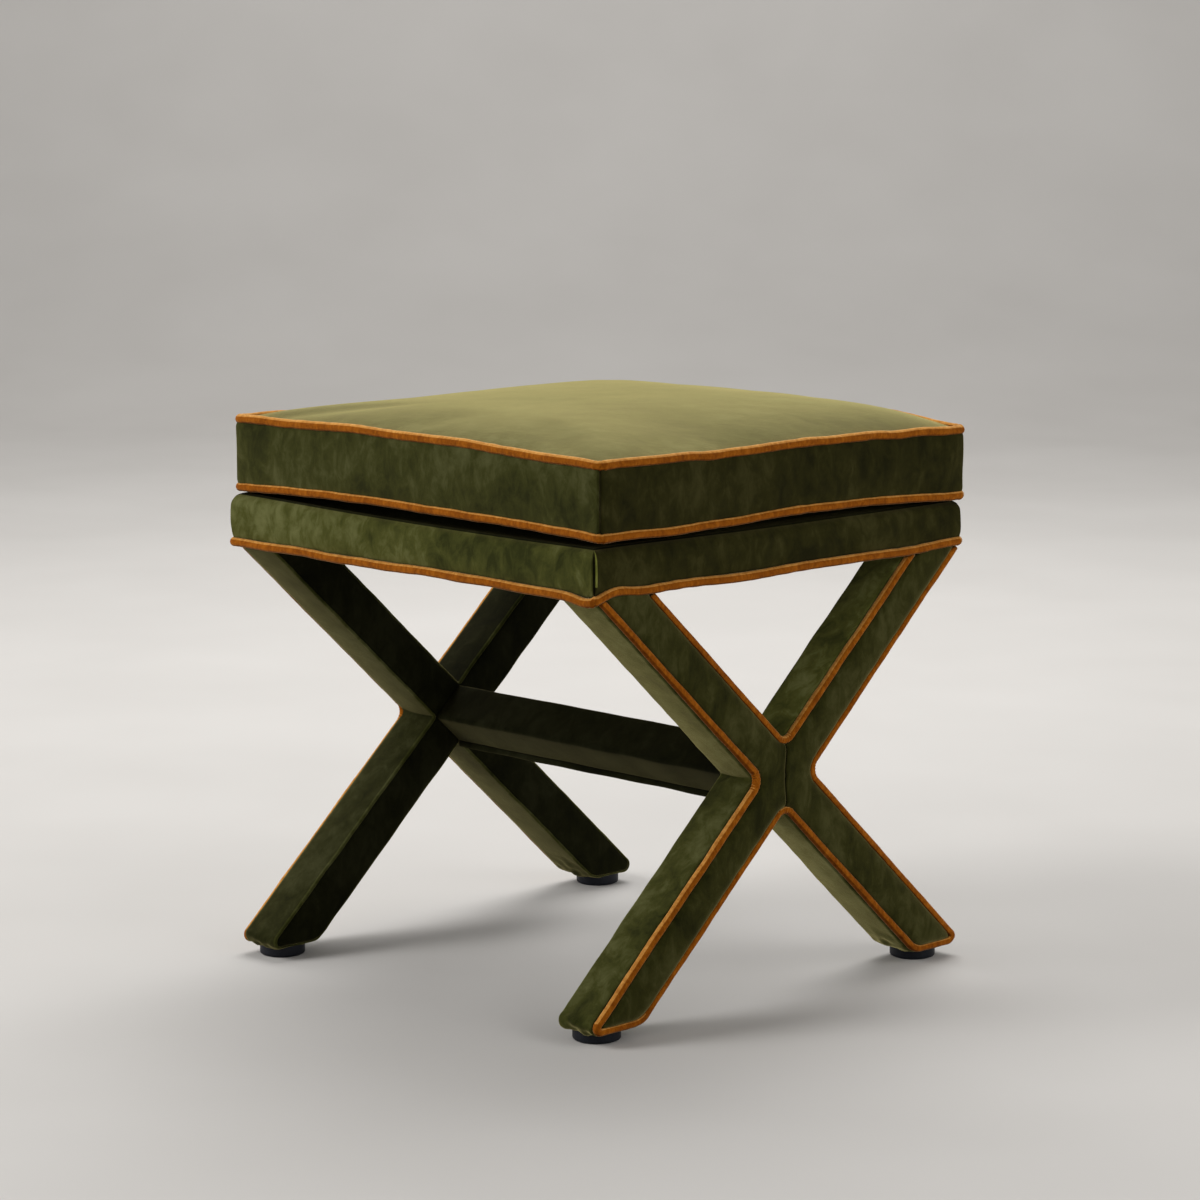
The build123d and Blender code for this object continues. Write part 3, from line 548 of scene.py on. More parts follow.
# Rust nap of the welts, with a paler copy as painted highlight for upward faces and a deeper copy as painted
# shade for downward faces
rust_nap = ((0.21, 0.054, 0.003), (0.29, 0.081, 0.004), (0.40, 0.122, 0.008))
rust_painted_highlight_nap = ((0.44, 0.17, 0.03), (0.58, 0.25, 0.05), (0.72, 0.34, 0.08))
rust_painted_shade_nap = ((0.10, 0.024, 0.001), (0.15, 0.038, 0.002), (0.21, 0.058, 0.004))
rust = rust_velvet("velvet_rust", rust_nap, 0.9)
rust_painted_highlight = rust_velvet("velvet_rust_painted_highlight", rust_painted_highlight_nap, 1.0)
rust_painted_shade = rust_velvet("velvet_rust_painted_shade", rust_painted_shade_nap, 0.4)
materials = {
    "velvet_green": green,
    "velvet_rust": rust,
    "beech": wood("beech", (0.40, 0.24, 0.12), (0.56, 0.37, 0.20), (1, 0.12, 1), 160, 0.55),
    "plywood": wood("plywood", (0.44, 0.30, 0.16), (0.60, 0.44, 0.26), (0.1, 1, 3), 120, 0.6),
    "padding": grained("padding", (0.66, 0.64, 0.58), (0.80, 0.78, 0.72), 500, 0.95),
    "foam": grained("foam", (0.70, 0.62, 0.36), (0.80, 0.72, 0.46), 900, 0.9),
    "fibre": grained("fibre", (0.78, 0.78, 0.76), (0.88, 0.88, 0.86), 300, 0.95),
    "cambric": grained("cambric", (0.008, 0.008, 0.010), (0.022, 0.022, 0.025), 1500, 0.9),
    "zinc_steel": metal("zinc_steel", (0.48, 0.48, 0.46), (0.66, 0.66, 0.64), 0.38),
    "glide_plastic": grained("glide_plastic", (0.005, 0.006, 0.010), (0.010, 0.012, 0.018), 700, 0.5, 0.2),
    "zip_fabric": grained("zip_fabric", (0.022, 0.026, 0.008), (0.040, 0.044, 0.014), 1600, 0.9),
    "zip_nylon": grained("zip_nylon", (0.020, 0.024, 0.008), (0.034, 0.038, 0.014), 800, 0.45),
    "zip_metal": metal("zip_metal", (0.16, 0.14, 0.10), (0.28, 0.25, 0.20), 0.42),
}
for entry in frame["record"]["subparts"]:
    finish = nodes[entry["node"]].data.materials
    finish.clear()
    finish.append(materials[entry["material_slot"]])


# Crossed legs: points in the plane of a frame are found by their distances from the two legs' middle lines
FIRST_NORMAL = np.array((leg_sin, leg_cos))
SECOND_NORMAL = np.array((-leg_sin, leg_cos))
ACROSS = 28
ARRIS_ROWS = 5
ALONG_UP = 64
ALONG_DOWN = 84
CROTCH_EASE = 3


def on_cross(u, v):
    """Y and Z at distances from the back-foot and front-foot legs' middle lines."""
    return np.stack([(u - v) / (2 * leg_sin), cross_z + (u + v) / (2 * leg_cos)], axis=-1)


def off_cross(flat):
    """Distances of points at Y and Z from those lines."""
    across = flat[..., 0] * leg_sin
    rise = (flat[..., 1] - cross_z) * leg_cos
    return rise + across, rise - across


def crotch_shift(u, v, half, radius):
    """How far points near the four crotches move out onto their round."""
    shift = np.zeros(u.shape + (2,))
    for su, sv in ((1, 1), (-1, -1), (1, -1), (-1, 1)):
        reach = radius * (1 - su * sv * cos(2 * leg_angle))
        out = np.clip((np.maximum(su * u, sv * v) - half) / reach, 0, 1)[..., None]
        first = (sv * v >= su * u)[..., None]
        middle = -unit(su * FIRST_NORMAL + sv * SECOND_NORMAL)
        tangent = np.where(first, -su * FIRST_NORMAL, -sv * SECOND_NORMAL)
        direction = unit(middle * (1 - out) + tangent * out)
        centre = on_cross(np.array(su * (half + radius)), np.array(sv * (half + radius)))
        far = half + out[..., 0] * reach
        edge_u = np.where(first[..., 0], su * half, su * far)
        edge_v = np.where(first[..., 0], sv * far, sv * half)
        weight = (np.clip(su * u / half, 0, 1) * np.clip(sv * v / half, 0, 1)) ** CROTCH_EASE
        shift += weight[..., None] * (centre + radius * direction - on_cross(edge_u, edge_v))
    return shift


def foot_end(u, inset):
    """V of the rounded foot end on each line along the back-foot leg."""
    half = LEG_WIDTH / 2 - inset
    floor = leg_foot + inset
    y = (u - (floor - cross_z) * leg_cos) / leg_sin
    z = np.full_like(u, floor)
    heel = HEEL_RADIUS - inset
    tip = max(TIP_RADIUS - inset, LEAST_RADIUS)
    for radius, middle, outer in ((heel, heel - half, -1), (tip, half - tip, 1)):
        touch = middle - radius * leg_cos
        rounded = u < touch if outer < 0 else u > touch
        turn = np.clip((u - middle) / radius, -1, 1)
        drop = -np.sqrt(1 - turn ** 2)
        centre_z = floor + radius
        centre_y = (middle - (centre_z - cross_z) * leg_cos) / leg_sin
        y = np.where(rounded, centre_y + radius * (turn * leg_sin - drop * leg_cos), y)
        z = np.where(rounded, centre_z + radius * (turn * leg_cos + drop * leg_sin), z)
    return (z - cross_z) * leg_cos - y * leg_sin


def cross_grids(inset, tuck=0):
    """Grids of the back-foot leg's two arms and of the crossing, with a fade at the foot."""
    half = LEG_WIDTH / 2 - inset
    spread = half * np.sin(np.linspace(-pi / 2, pi / 2, ACROSS + 1))
    top = 2 * leg_cos * (leg_top + tuck - cross_z) - spread
    grids = []
    for sign, end, steps in ((1, top, ALONG_UP), (-1, foot_end(spread, inset), ALONG_DOWN)):
        v = sign * half + (end - sign * half) * np.linspace(0, 1, steps + 1)[:, None]
        u = np.broadcast_to(spread, v.shape)
        fade = np.ones_like(v)
        if sign < 0:
            fade = 1 - (1 - np.clip(np.abs(end - v) / half, 0, 1)) ** 2
        grids.append((u, v, fade))
    u, v = np.meshgrid(spread, spread)
    return grids[0], grids[1], (u, v, np.ones_like(u))


def fullness(u, v, fade, half):
    """0 at the rim of a crossed face and 1 along the middles of its legs."""
    first = np.clip(1 - (u / half) ** PANEL_POWER, 0, 1)
    second = np.clip(1 - (v / half) ** PANEL_POWER, 0, 1)
    return (1 - (1 - first) * (1 - second)) * fade


def let_out(flat, sx):
    """Points in a frame's plane, with the right frame's back edges let out."""
    if sx < 0:
        return flat
    half = LEG_WIDTH / 2
    u, v = off_cross(flat)
    moved = np.array(flat)
    for own, other, lift in ((u, v, 1), (-v, u, -1)):
        out = BACK_EASE * np.clip(own / (half - BACK_EASE_RIM), 0, 1) ** 2
        out = out * np.clip(1 - (own - half) / BACK_EASE_REACH, 0, 1)
        near = np.clip(1 - (np.abs(other) - half) / BACK_EASE_REACH, 0, 1)
        moved[..., 0] += out * (1 - near / 2) / leg_sin
        moved[..., 1] += out * lift * near / (2 * leg_cos)
    return moved


def swapped(grid):
    """The same grid on the other leg, mirrored from back to front."""
    return grid[1], grid[0], grid[2]


def panel_patch(grid, inset, crotch, sx, sy, rise):
    """Points and faces of one grid of a face panel, raised by its fullness."""
    half = LEG_WIDTH / 2 - inset
    u, v, fade = grid
    flat = on_cross(u, v) + crotch_shift(u, v, half, crotch + inset)
    full = fullness(u, v, fade, half)
    points = np.stack([np.zeros_like(u), sy * flat[..., 0], flat[..., 1]], axis=-1)
    points[..., 0] = sx * rise(points, full)
    if rise is outer_rise:
        points[..., 1:] = let_out(points[..., 1:], sx)
    return points.reshape(-1, 3), grid_faces(*u.shape)


def outer_rise(points, full):
    """X of an outer panel: drawn down at its welt and seam, with a fold at the crossing."""
    y = points[..., 1]
    z = points[..., 2]
    x = frame_out - PANEL_RIM_DROP * (1 - full) ** 2 + PANEL_BULGE * full
    x = x + (1 - full) * uneven(points, PANEL_PUCKERS) + full * uneven(points, PANEL_DENTS)
    x = x - SEAM_DEPTH * bell(y, SEAM_WIDTH)
    return x + FOLD_HEIGHT * bell(z - cross_z - FOLD_RISE, FOLD_WIDTH) * bell(y, FOLD_REACH)


def inner_rise(points, full):
    """X of an inner panel: nearly flat, with a fine groove along its rim."""
    x = frame_in + INNER_RIM_DROP * (1 - full) ** 3 - INNER_BULGE * full
    return x + full * uneven(points, INNER_DENTS) + (1 - full) ** 2 * edge_wave(points)


def edge_wave(points):
    """Waves along the legs' inner edges, the same for panels and bands."""
    return uneven(points * np.array((0, 1, 1)), EDGE_WAVES)


def half_middle(rows):
    """Faces of half the crossing's grid, cut along its upright diagonal."""
    faces = []
    for row in range(rows - 1):
        for column in range(row + 1):
            a = row * rows + column
            quad = (a, a + 1, a + rows + 1, a + rows)
            faces.append(quad if column < row else (a, a + rows + 1, a + rows))
    return faces


def joined(patches, direction):
    """Points and faces of patches, made one sheet that looks in a direction."""
    points = []
    faces = []
    for patch, made in patches:
        start = len(points)
        points += list(patch)
        faces += [tuple(start + i for i in face) for face in facing(patch, made, direction)]
    return welded(*trimmed(points, faces))


def outer_panel(side, sx, end, sy):
    """One half of a frame's outer face, from its middle seam to the welts."""
    up, down, middle = cross_grids(PANEL_INSET, PANEL_TUCK)
    shape = (PANEL_INSET, CROTCH_RADIUS, sx, sy, outer_rise)
    patches = [panel_patch(grid, *shape) for grid in (up, swapped(down), middle)]
    patches[-1] = (patches[-1][0], half_middle(ACROSS + 1))
    points, faces = joined(patches, (sx, 0, 0))
    name = f"outer_panel_{end}_{side}"
    # The outer panels take a darker, warmer copy of the green: painted shade
    velvet_sheet(name, points, faces, (green_shaded_panel,), "frame", name)


def inner_panel(side, sx):
    """A frame's inner face."""
    inset = ARRIS - BAND_PAD + ARRIS_GAP
    up, down, middle = cross_grids(inset)
    shape = (inset, INNER_CROTCH_RADIUS, sx, 1, inner_rise)
    patches = [panel_patch(grid, *shape) for grid in (up, down, swapped(up), swapped(down), middle)]
    points, faces = joined(patches, (-sx, 0, 0))
    name = f"inner_panel_{side}"
    # The inner faces take the near-black copy of the green: painted shade
    piece = velvet_sheet(name, points, faces, (green_painted_shade,), "frame", name, f"leg_padding_{side}")


SIDE_RUNS = (64, 76, 10, 64, 64, 10, 76, 64)
SIDE_TURNS = (16, 14, 12, 16, 12, 14, 16)
CROTCH_RUNS = (64, 64)
CROTCH_TURNS = (18,)


def side_outline(inset, crotch, finer=1):
    """Open outline from the front leg top, round both feet, to the back leg top."""
    half = LEG_WIDTH / 2 - inset
    across = half / leg_sin
    foot = leg_foot + inset
    foot_y = (cross_z - foot) / tan(leg_angle)
    top_y = across + (leg_top - cross_z) / tan(leg_angle)
    tip_y = foot_y + across
    heel_y = foot_y - across
    corners = [(-top_y, leg_top), (-across, cross_z), (-tip_y, foot), (-heel_y, foot)]
    corners += [(0, cross_z - half / leg_cos)]
    corners += [(heel_y, foot), (tip_y, foot), (across, cross_z), (top_y, leg_top)]
    tip = max(TIP_RADIUS - inset, LEAST_RADIUS)
    heel = HEEL_RADIUS - inset
    radii = (crotch, tip, heel, crotch, heel, tip, crotch)
    return rounded_path(corners, radii, SIDE_RUNS, [turn * finer for turn in SIDE_TURNS])


def crotch_outline(inset, crotch, finer=1):
    """Open outline of the V between the two leg tops, from back to front."""
    half = LEG_WIDTH / 2 - inset
    top_y = (leg_top - cross_z) / tan(leg_angle) - half / leg_sin
    corners = [(top_y, leg_top), (0, cross_z + half / leg_cos), (-top_y, leg_top)]
    return rounded_path(corners, (crotch,), CROTCH_RUNS, [turn * finer for turn in CROTCH_TURNS])


def band_rows(cover):
    """Depth and set-in of a leg band's rows, from the inner face to the welt."""
    rows = []
    for angle in np.linspace(pi / 2, 0, ARRIS_ROWS + 1):
        rows.append((frame_in + ARRIS * (1 - sin(angle)), ARRIS * (1 - cos(angle)) - BAND_PAD))
    start = frame_in + ARRIS
    end = frame_out - leg_welt / 2 - LEG_WELT_SINK + cover
    for share in np.linspace(0, 1, BAND_STEPS + 1)[1:]:
        rows.append((start + (end - start) * share, -BAND_PAD - BAND_BULGE * sin(pi * share)))
    return rows + [(end + past, inset) for past, inset in BAND_TURN_IN]


def leg_band(name, side, sx, outline, material, edge_wear_and_highlight):
    """Velvet round the edges of a frame, with worn pile and a painted sheen highlight along its inner edge.
    """
    rows = band_rows(LEFT_BAND_COVER if sx < 0 else 0)
    grid = []
    for x, inset in rows:
        share = (x - frame_in) / (frame_out - frame_in)
        crotch = INNER_CROTCH_RADIUS + (CROTCH_RADIUS - INNER_CROTCH_RADIUS) * share ** 4
        path = outline(inset, crotch + inset)
        path = path + (let_out(path, sx) - path) * share
        run = unit(np.gradient(path, axis=0))
        points = np.column_stack([np.full(len(path), sx * x), path])
        loose = np.clip(1 - (path[:, 1] - leg_foot) / FOOT_LOOSE, 0, 1)
        swell = uneven(points, BAND_DENTS) + loose * uneven(points, FOOT_FOLDS)
        swell *= sin(pi * share) ** 0.5
        points[:, 0] += sx * np.clip(1 - share / EDGE_WAVE_SHARE, 0, 1) * edge_wave(points)
        points[:, 1] += swell * run[:, 1]
        points[:, 2] -= swell * run[:, 0]
        grid.append(points)
    points = np.concatenate(grid)
    faces = grid_faces(len(rows), len(grid[0]))
    if sx < 0:
        faces = [face[::-1] for face in faces]
    node = f"{name}_{side}"
    piece = velvet_sheet(node, points, faces, (material, edge_wear_and_highlight), "frame", node)
    # Rows along the inner edge take the lighter copy: worn pile and painted sheen highlight
    for face in piece.data.polygons[:ARRIS_ROWS * (len(grid[0]) - 1)]:
        face.material_index = 1


def leg_cord(name, side, sx, outline, crotches):
    """Welt round a frame's outer face, gathered where it turns into a crotch."""
    flat = let_out(outline(LEG_WELT_INSET, CROTCH_RADIUS + LEG_WELT_INSET, 4), sx)
    path = np.column_stack([np.full(len(flat), sx * (frame_out - LEG_WELT_SINK)), flat])
    path[:, 0] += sx * uneven(path, LEG_WELT_SWAY)
    gathers = GATHER * np.sin(along(path) * (2 * pi / LEG_GATHER_PITCH))
    radius = leg_welt / 2 * (1 + uneven(path, LEG_WELT_LUMPS))
    for y, z in crotches:
        radius *= 1 + gathers * bell(np.hypot(flat[:, 0] - y, flat[:, 1] - z), CROTCH_GATHER)
    welt_piece(f"{name}_{side}", path, radius, (sx, 0, 0), "frame")


crotch_rise = LEG_WIDTH / 2 / leg_cos
top_crotch = (0, cross_z + crotch_rise)
other_crotches = ((-leg_across, cross_z), (leg_across, cross_z), (0, cross_z - crotch_rise))
for side, sx in (("right", 1), ("left", -1)):
    for end, sy in (("front", 1), ("back", -1)):
        outer_panel(side, sx, end, sy)
    inner_panel(side, sx)
    # The right frame's bands take lit copies of the green and the left frame's bands shaded ones: painted
    # light and shade
    edge_wear_and_highlight = green_edge_wear_and_highlight if sx > 0 else green_edge_wear_and_highlight_left
    leg_band("side_band", side, sx, side_outline, green_lit_right_band if sx > 0 else green_shaded_left_band, edge_wear_and_highlight)
    leg_band("crotch_band", side, sx, crotch_outline, green_lit_right_crotch if sx > 0 else green_painted_shade, edge_wear_and_highlight)
    leg_cord("side_welt", side, sx, side_outline, other_crotches)
    leg_cord("crotch_welt", side, sx, crotch_outline, (top_crotch,))


# Stretcher, a square bar set on edge
STRETCHER_STEPS = 110
STRETCHER_DRAW_IN = 9 * MM
STRETCHER_TUCK = 0.3 * MM
LIP_HEIGHT = 4.6 * MM
LIP_TUCK = 1.5 * MM
LIP_LEAN = 1 * MM
LIP_SECTION = ((1.1, 0), (1.2, 0.5), (0.7, 1), (-0.7, 1), (-1.2, 0.5), (-1.1, 0))


def stretcher_section():
    """Closed outline of the bar in Y and Z, from its lower back face."""
    across = STRETCHER_WIDTH / 2 / leg_sin
    rise = STRETCHER_WIDTH / 2 / leg_cos
    start = (across / 2, cross_z - rise / 2)
    corners = [start, (0, cross_z - rise), (-across, cross_z), (0, cross_z + rise), (across, cross_z), start]
    return rounded_path(corners, (STRETCHER_ROUND,) * 4, (5, 10, 10, 10, 5), (6, 6, 6, 6))[:-1]


def stretcher():
    """Padded bar with a sewn lip hanging along its lower edge."""
    section = stretcher_section()
    half = STRETCHER_WIDTH / 2
    u, v = off_cross(section)
    first = (np.abs(u) > np.abs(v))[:, None]
    out = np.where(first, np.sign(u)[:, None] * FIRST_NORMAL, np.sign(v)[:, None] * SECOND_NORMAL)
    full = np.where(first[:, 0], 1 - (v / half) ** 2, 1 - (u / half) ** 2)
    reach = frame_in + STRETCHER_TUCK
    rows = []
    for x in np.linspace(-reach, reach, STRETCHER_STEPS + 1):
        points = np.column_stack([np.full(len(section), x), section])
        swell = STRETCHER_BULGE * full + uneven(points, STRETCHER_DENTS)
        swell *= 1 - bell(reach - abs(x), STRETCHER_DRAW_IN)
        points[:, 1:] += swell[:, None] * out
        rows.append(points)
    lip_top = cross_z - half / leg_cos + LIP_TUCK
    for x in np.linspace(-reach, reach, STRETCHER_STEPS + 1):
        here = np.array((x, 0, 0))
        sway = uneven(here, LIP_SWAY) - LIP_LEAN
        drop = LIP_HEIGHT + LIP_TUCK + uneven(here, LIP_HANG)
        rows.append([(x, sway * z + y * MM, lip_top - z * drop) for y, z in LIP_SECTION])
    bar = np.arange((STRETCHER_STEPS + 1) * len(section)).reshape(-1, len(section))
    lip = bar.size + np.arange((STRETCHER_STEPS + 1) * len(LIP_SECTION)).reshape(-1, len(LIP_SECTION))
    faces = loft_faces(bar) + loft_faces(lip) + [lip[0][::-1].tolist(), lip[-1].tolist()]
    points = np.concatenate(rows)
    # The stretcher takes the near-black copy of the green: painted shade
    piece = make_piece("stretcher_velvet", points, faces, (green_painted_shade,), "velvet_green", "frame",
                       "stretcher_cover", "stretcher_padding")


stretcher()


# Level outlines of the seat box and cushion
SIDE_STEPS = 56
CORNER_STEPS = 12
LOOP_SIDE = SIDE_STEPS + CORNER_STEPS
GRID_SIDE = LOOP_SIDE + 1
BOW_POWERS = (2, 2, 6, 2)
SEAM_PROFILE = (1, 0.6, -0.2, -0.25, -0.1, 0)


def plan_loop(least, most, corner, draw_ins, side_steps=SIDE_STEPS, corner_steps=CORNER_STEPS):
    """Closed outline with bowed-in sides, and each point's share of the way round."""
    middle_x, middle_y = (least + most) / 2
    half_x, half_y = (most - least) / 2
    share = np.linspace(-1, 1, side_steps + 1)[:-1]
    angle = np.linspace(0, pi / 4, corner_steps // 2 + 1)
    points = []
    places = []
    turns = ((1, 0, 0, -1), (0, 1, 1, 0), (-1, 0, 0, 1), (0, -1, -1, 0))
    for index, (sx, dx, sy, dy) in enumerate(turns):
        length, depth = (half_x, half_y) if index % 2 == 0 else (half_y, half_x)
        flat = length - corner
        bend = flat + corner * np.sin(angle)
        drop = depth - corner + corner * np.cos(angle)
        bow = draw_ins[index] * (1 - np.abs(share) ** BOW_POWERS[index])
        s = np.concatenate([-bend[:0:-1], flat * share, bend[:-1]])
        d = np.concatenate([drop[:0:-1], depth - bow, drop[:-1]])
        points.append(np.column_stack([middle_x + sx * s + dx * d, middle_y + sy * s + dy * d]))
        places.append((index + (s / length + 1) / 2) / 4)
    return np.concatenate(points), np.concatenate(places)


def smooth_stations(stations, places):
    """Smooth closed curve through heights in mm, at shares of the way round."""
    stations = np.array(stations) * MM
    count = len(stations)
    spot = places * count
    index = np.floor(spot).astype(int)
    t = spot - index
    a, b, c, d = (stations[(index + step) % count] for step in (-1, 0, 1, 2))
    return (2 * b + (c - a) * t + (2 * a - 5 * b + 4 * c - d) * t ** 2 + (3 * b - a - 3 * c + d) * t ** 3) / 2


def fill_grid(loop):
    """Grid of points inside a closed loop of four equal sides."""
    wrapped = np.concatenate([loop, loop[:1]])
    front, right, back, left = (wrapped[side * LOOP_SIDE:(side + 1) * LOOP_SIDE + 1] for side in range(4))
    back = back[::-1]
    left = left[::-1]
    share = along(front)
    share = share / share[-1]
    a = share[None, :, None]
    b = share[:, None, None]
    ruled = (1 - b) * front[None] + b * back[None] + (1 - a) * left[:, None] + a * right[:, None]
    near = (1 - a) * front[0] + a * front[-1]
    far = (1 - a) * back[0] + a * back[-1]
    return ruled - (1 - b) * near - b * far


def grid_rim():
    """Indices of a filled grid's rim, in the order of its loop."""
    index = np.arange(GRID_SIDE ** 2).reshape(GRID_SIDE, GRID_SIDE)
    return np.concatenate([index[0, :-1], index[:-1, -1], index[-1, :0:-1], index[:0:-1, 0]])


def loop_seams():
    """Groove of the corner seams round a loop, 1 in a seam and below 0 on its lips."""
    index = np.arange(4 * LOOP_SIDE)
    away = np.minimum(index % LOOP_SIDE, LOOP_SIDE - index % LOOP_SIDE)
    return np.interp(away, range(len(SEAM_PROFILE)), SEAM_PROFILE)


# Apron of the seat box
apron_low = np.array((-seat_half_x - APRON_LEFT_FLARE, -seat_half_y))
apron_high = np.array((seat_half_x, seat_half_y))
STRAIGHT = (0, 0, 0, 0)
APRON_GROOVE = 2.6 * MM
TROUGH_WIDTH = 13 * MM
WELT_BENDS = ((-3.2 * MM, -8 * MM, 15 * MM), (3.8 * MM, 24 * MM, 20 * MM))
APRON_TOP_SAG = [1.5, 0, -1.5, -2.5, -3, -3, -2.5, -3, -4, -4.5, -4.5, -4.5]
APRON_TOP_SAG += [-4, -2, -1, -1, -1, -1, -1, -1, -1, -1, 0, 1]
APRON_WELT_SAG = [-1, -0.5, -1, -1, -0.7, -1.6, -2.4, 0.4, -1.4, -0.9, -0.5, -0.9, 0.6]
APRON_WELT_SAG += [-0.5, 0, -0.5, 0, -0.5, 0, -0.5, 0, -0.5, 0, -0.5]


def apron_rows():
    """Set-in and height of the apron's rows, from its hem to the flat top."""
    rows = [(inset * MM, seat_underside + rise * MM) for inset, rise in APRON_HEM]
    shoulder = apron_top - APRON_TOP_ROUND
    start = rows[-1][1]
    for share in np.linspace(0, 1, APRON_SIDE_ROWS + 1)[1:]:
        rows.append((-APRON_BULGE * sin(pi * share), start + (shoulder - start) * share))
    for angle in np.linspace(0, pi / 2, APRON_ROUND_ROWS + 1)[1:]:
        rows.append((APRON_TOP_ROUND * (1 - cos(angle)), shoulder + APRON_TOP_ROUND * sin(angle)))
    return rows


def apron():
    """Velvet over the seat box, seamed at its corners."""
    rows = apron_rows()
    grid = []
    groove = loop_seams()
    for inset, z in rows:
        corner = max(APRON_CORNER - inset, LEAST_RADIUS)
        loop, places = plan_loop(apron_low + inset, apron_high - inset, corner, STRAIGHT)
        share = np.clip((z - apron_welt_z) / (apron_top - apron_welt_z), 0, 1)
        points = np.column_stack([loop, z + share * smooth_stations(APRON_TOP_SAG, places)])
        swell = 4 * share * (1 - share) * (uneven(points, APRON_DENTS) + uneven(points, APRON_PUCKERS))
        swell -= APRON_GROOVE * groove * np.clip(share * 8, 0, 1) * np.clip((1 - share) * 6, 0, 1)
        points[:, :2] += swell[:, None] * unit(loop)
        grid.append(points)
    count = len(groove)
    sides = np.concatenate(grid[:-1])
    top = fill_grid(grid[-1])
    set_in = np.minimum(top[..., :2] - apron_low, apron_high - top[..., :2]).min(-1)
    level = np.clip((set_in - APRON_TROUGH_IN) / APRON_TROUGH_IN, 0, 1)
    trough = APRON_TROUGH * bell(set_in - APRON_TROUGH_IN, TROUGH_WIDTH)
    top[..., 2] += (apron_top - top[..., 2]) * level - trough
    top[..., 2] = np.maximum(top[..., 2], deck_top + APRON_PADDING)
    points = np.concatenate([sides, top.reshape(-1, 3)])
    rings = [*np.arange(len(sides)).reshape(-1, count), len(sides) + grid_rim()]
    faces = loft_faces(rings) + grid_faces(GRID_SIDE, GRID_SIDE, len(sides))
    # Painted light and shade on the apron: its top takes the dark copy for the gap under the cushion, faces
    # just past the near corner seam a painted highlight, the right side a shaded copy and the front, left and
    # back a lit copy
    finishes = (apron_lit_front, apron_shaded_right, apron_top_shade, apron_seam_highlight)
    piece = velvet_sheet("apron", points, faces, finishes, "frame", "apron_cover", "seat_padding")
    shoulder = (len(rows) - APRON_SHADE_ROWS) * count
    hem = len(APRON_HEM) * count
    for face in piece.data.polygons:
        place = face.center
        past_seam = face.index % count - LOOP_SIDE
        if face.index >= shoulder:
            face.material_index = finishes.index(apron_top_shade)
        elif face.index >= hem and 1 <= past_seam <= APRON_HIGHLIGHT_STEPS:
            face.material_index = finishes.index(apron_seam_highlight)
        elif place.x / seat_half_x > abs(place.y) / seat_half_y:
            face.material_index = finishes.index(apron_shaded_right)


def level_cord(node, body, plan, sink, height, seed):
    """Welt along a level outline, gathered at the corners."""
    least, most, corner, draw_ins = plan
    loop, places = plan_loop(least + sink, most - sink, corner - sink / 2, draw_ins, *WELT_STEPS)
    path = np.column_stack([loop, height(places)])
    path[:, 2] += uneven(path, (*SEAT_WELT_RISE, seed))
    path[:, :2] += uneven(path, (*SEAT_WELT_SWAY, seed + 1))[:, None] * unit(loop)
    radius = seat_welt / 2 * (1 + uneven(path, (*SEAT_WELT_LUMPS, seed + 2)))
    corners = bell(np.abs(places * 4 - np.round(places * 4)), CORNER_GATHER)
    radius *= 1 + GATHER * corners * np.sin(along(path) * (2 * pi / SEAT_GATHER_PITCH))
    welt_piece(node, path, radius, (0, 0, 1), body, True)


def apron_cord_height(places):
    """Height of the apron's welt, which bends at the near corner."""
    past = (places * 4 - 1) * 2 * seat_half_x
    bends = sum(height * bell(past - place, width) for height, place, width in WELT_BENDS)
    return apron_welt_z + bends + smooth_stations(APRON_WELT_SAG, places)


apron()
apron_plan = (apron_low, apron_high, APRON_CORNER, STRAIGHT)
level_cord("apron_welt", "frame", apron_plan, APRON_WELT_SINK, apron_cord_height, APRON_WELT_SEED)


# Cushion
cushion_low = np.array((-cushion_half_x - CUSHION_END_FLARE, -cushion_half_y))
cushion_high = np.array((cushion_half_x + CUSHION_END_FLARE, cushion_half_y + CUSHION_BACK_FLARE))
CUSHION_BOWS = (CUSHION_DRAW_IN, CUSHION_DRAW_IN, CUSHION_DRAW_IN + CUSHION_BACK_FLARE, CUSHION_DRAW_IN)
TOP_SAG = [2.2, 0.6, 1.6, 0.4, 0.3, -1.2, 0, -3, -6.4, -5.6, -5.6, -6.2, -6]
TOP_SAG += [-0.5, 1, 1, 0.5, 0, -1, -3, -3.5, -3.5, -3, -1]
BOTTOM_SAG = [0.8, 2.2, 3, 1.9, 1.3, 1.5, 0.5, -2.4, -3, -1.6, -1.8, -3.2, -5.4]
BOTTOM_SAG += [-2, -0.3, 0, 0, 0.3, 0.5, 0.4, 0.3, 0.4, 0.5, 0.7]
EDGES = {"top": (top_welt_z, 4 * MM, TOP_SAG), "bottom": (bottom_welt_z, 2 * MM, BOTTOM_SAG)}
WELT_SHARE = 0.07
BOXING_GROOVE = 1.5 * MM
BELLY_GAP = 0.4 * MM
BOXING_ROWS = (0, 0.07, 0.15, 0.25, 0.335, 0.414, 0.5, 0.586, 0.665, 0.75, 0.85, 0.93, 1)
BACK_SIDE = 2
BELLY_POWER = 5


def edge_height(places, edge):
    """Height of a cushion edge, which bows up between the corners and sags unevenly."""
    level, lift, sag = EDGES[edge]
    along_side = (places * 4) % 1 * 2 - 1
    return level + lift * (1 - along_side ** 2) + smooth_stations(sag, places)


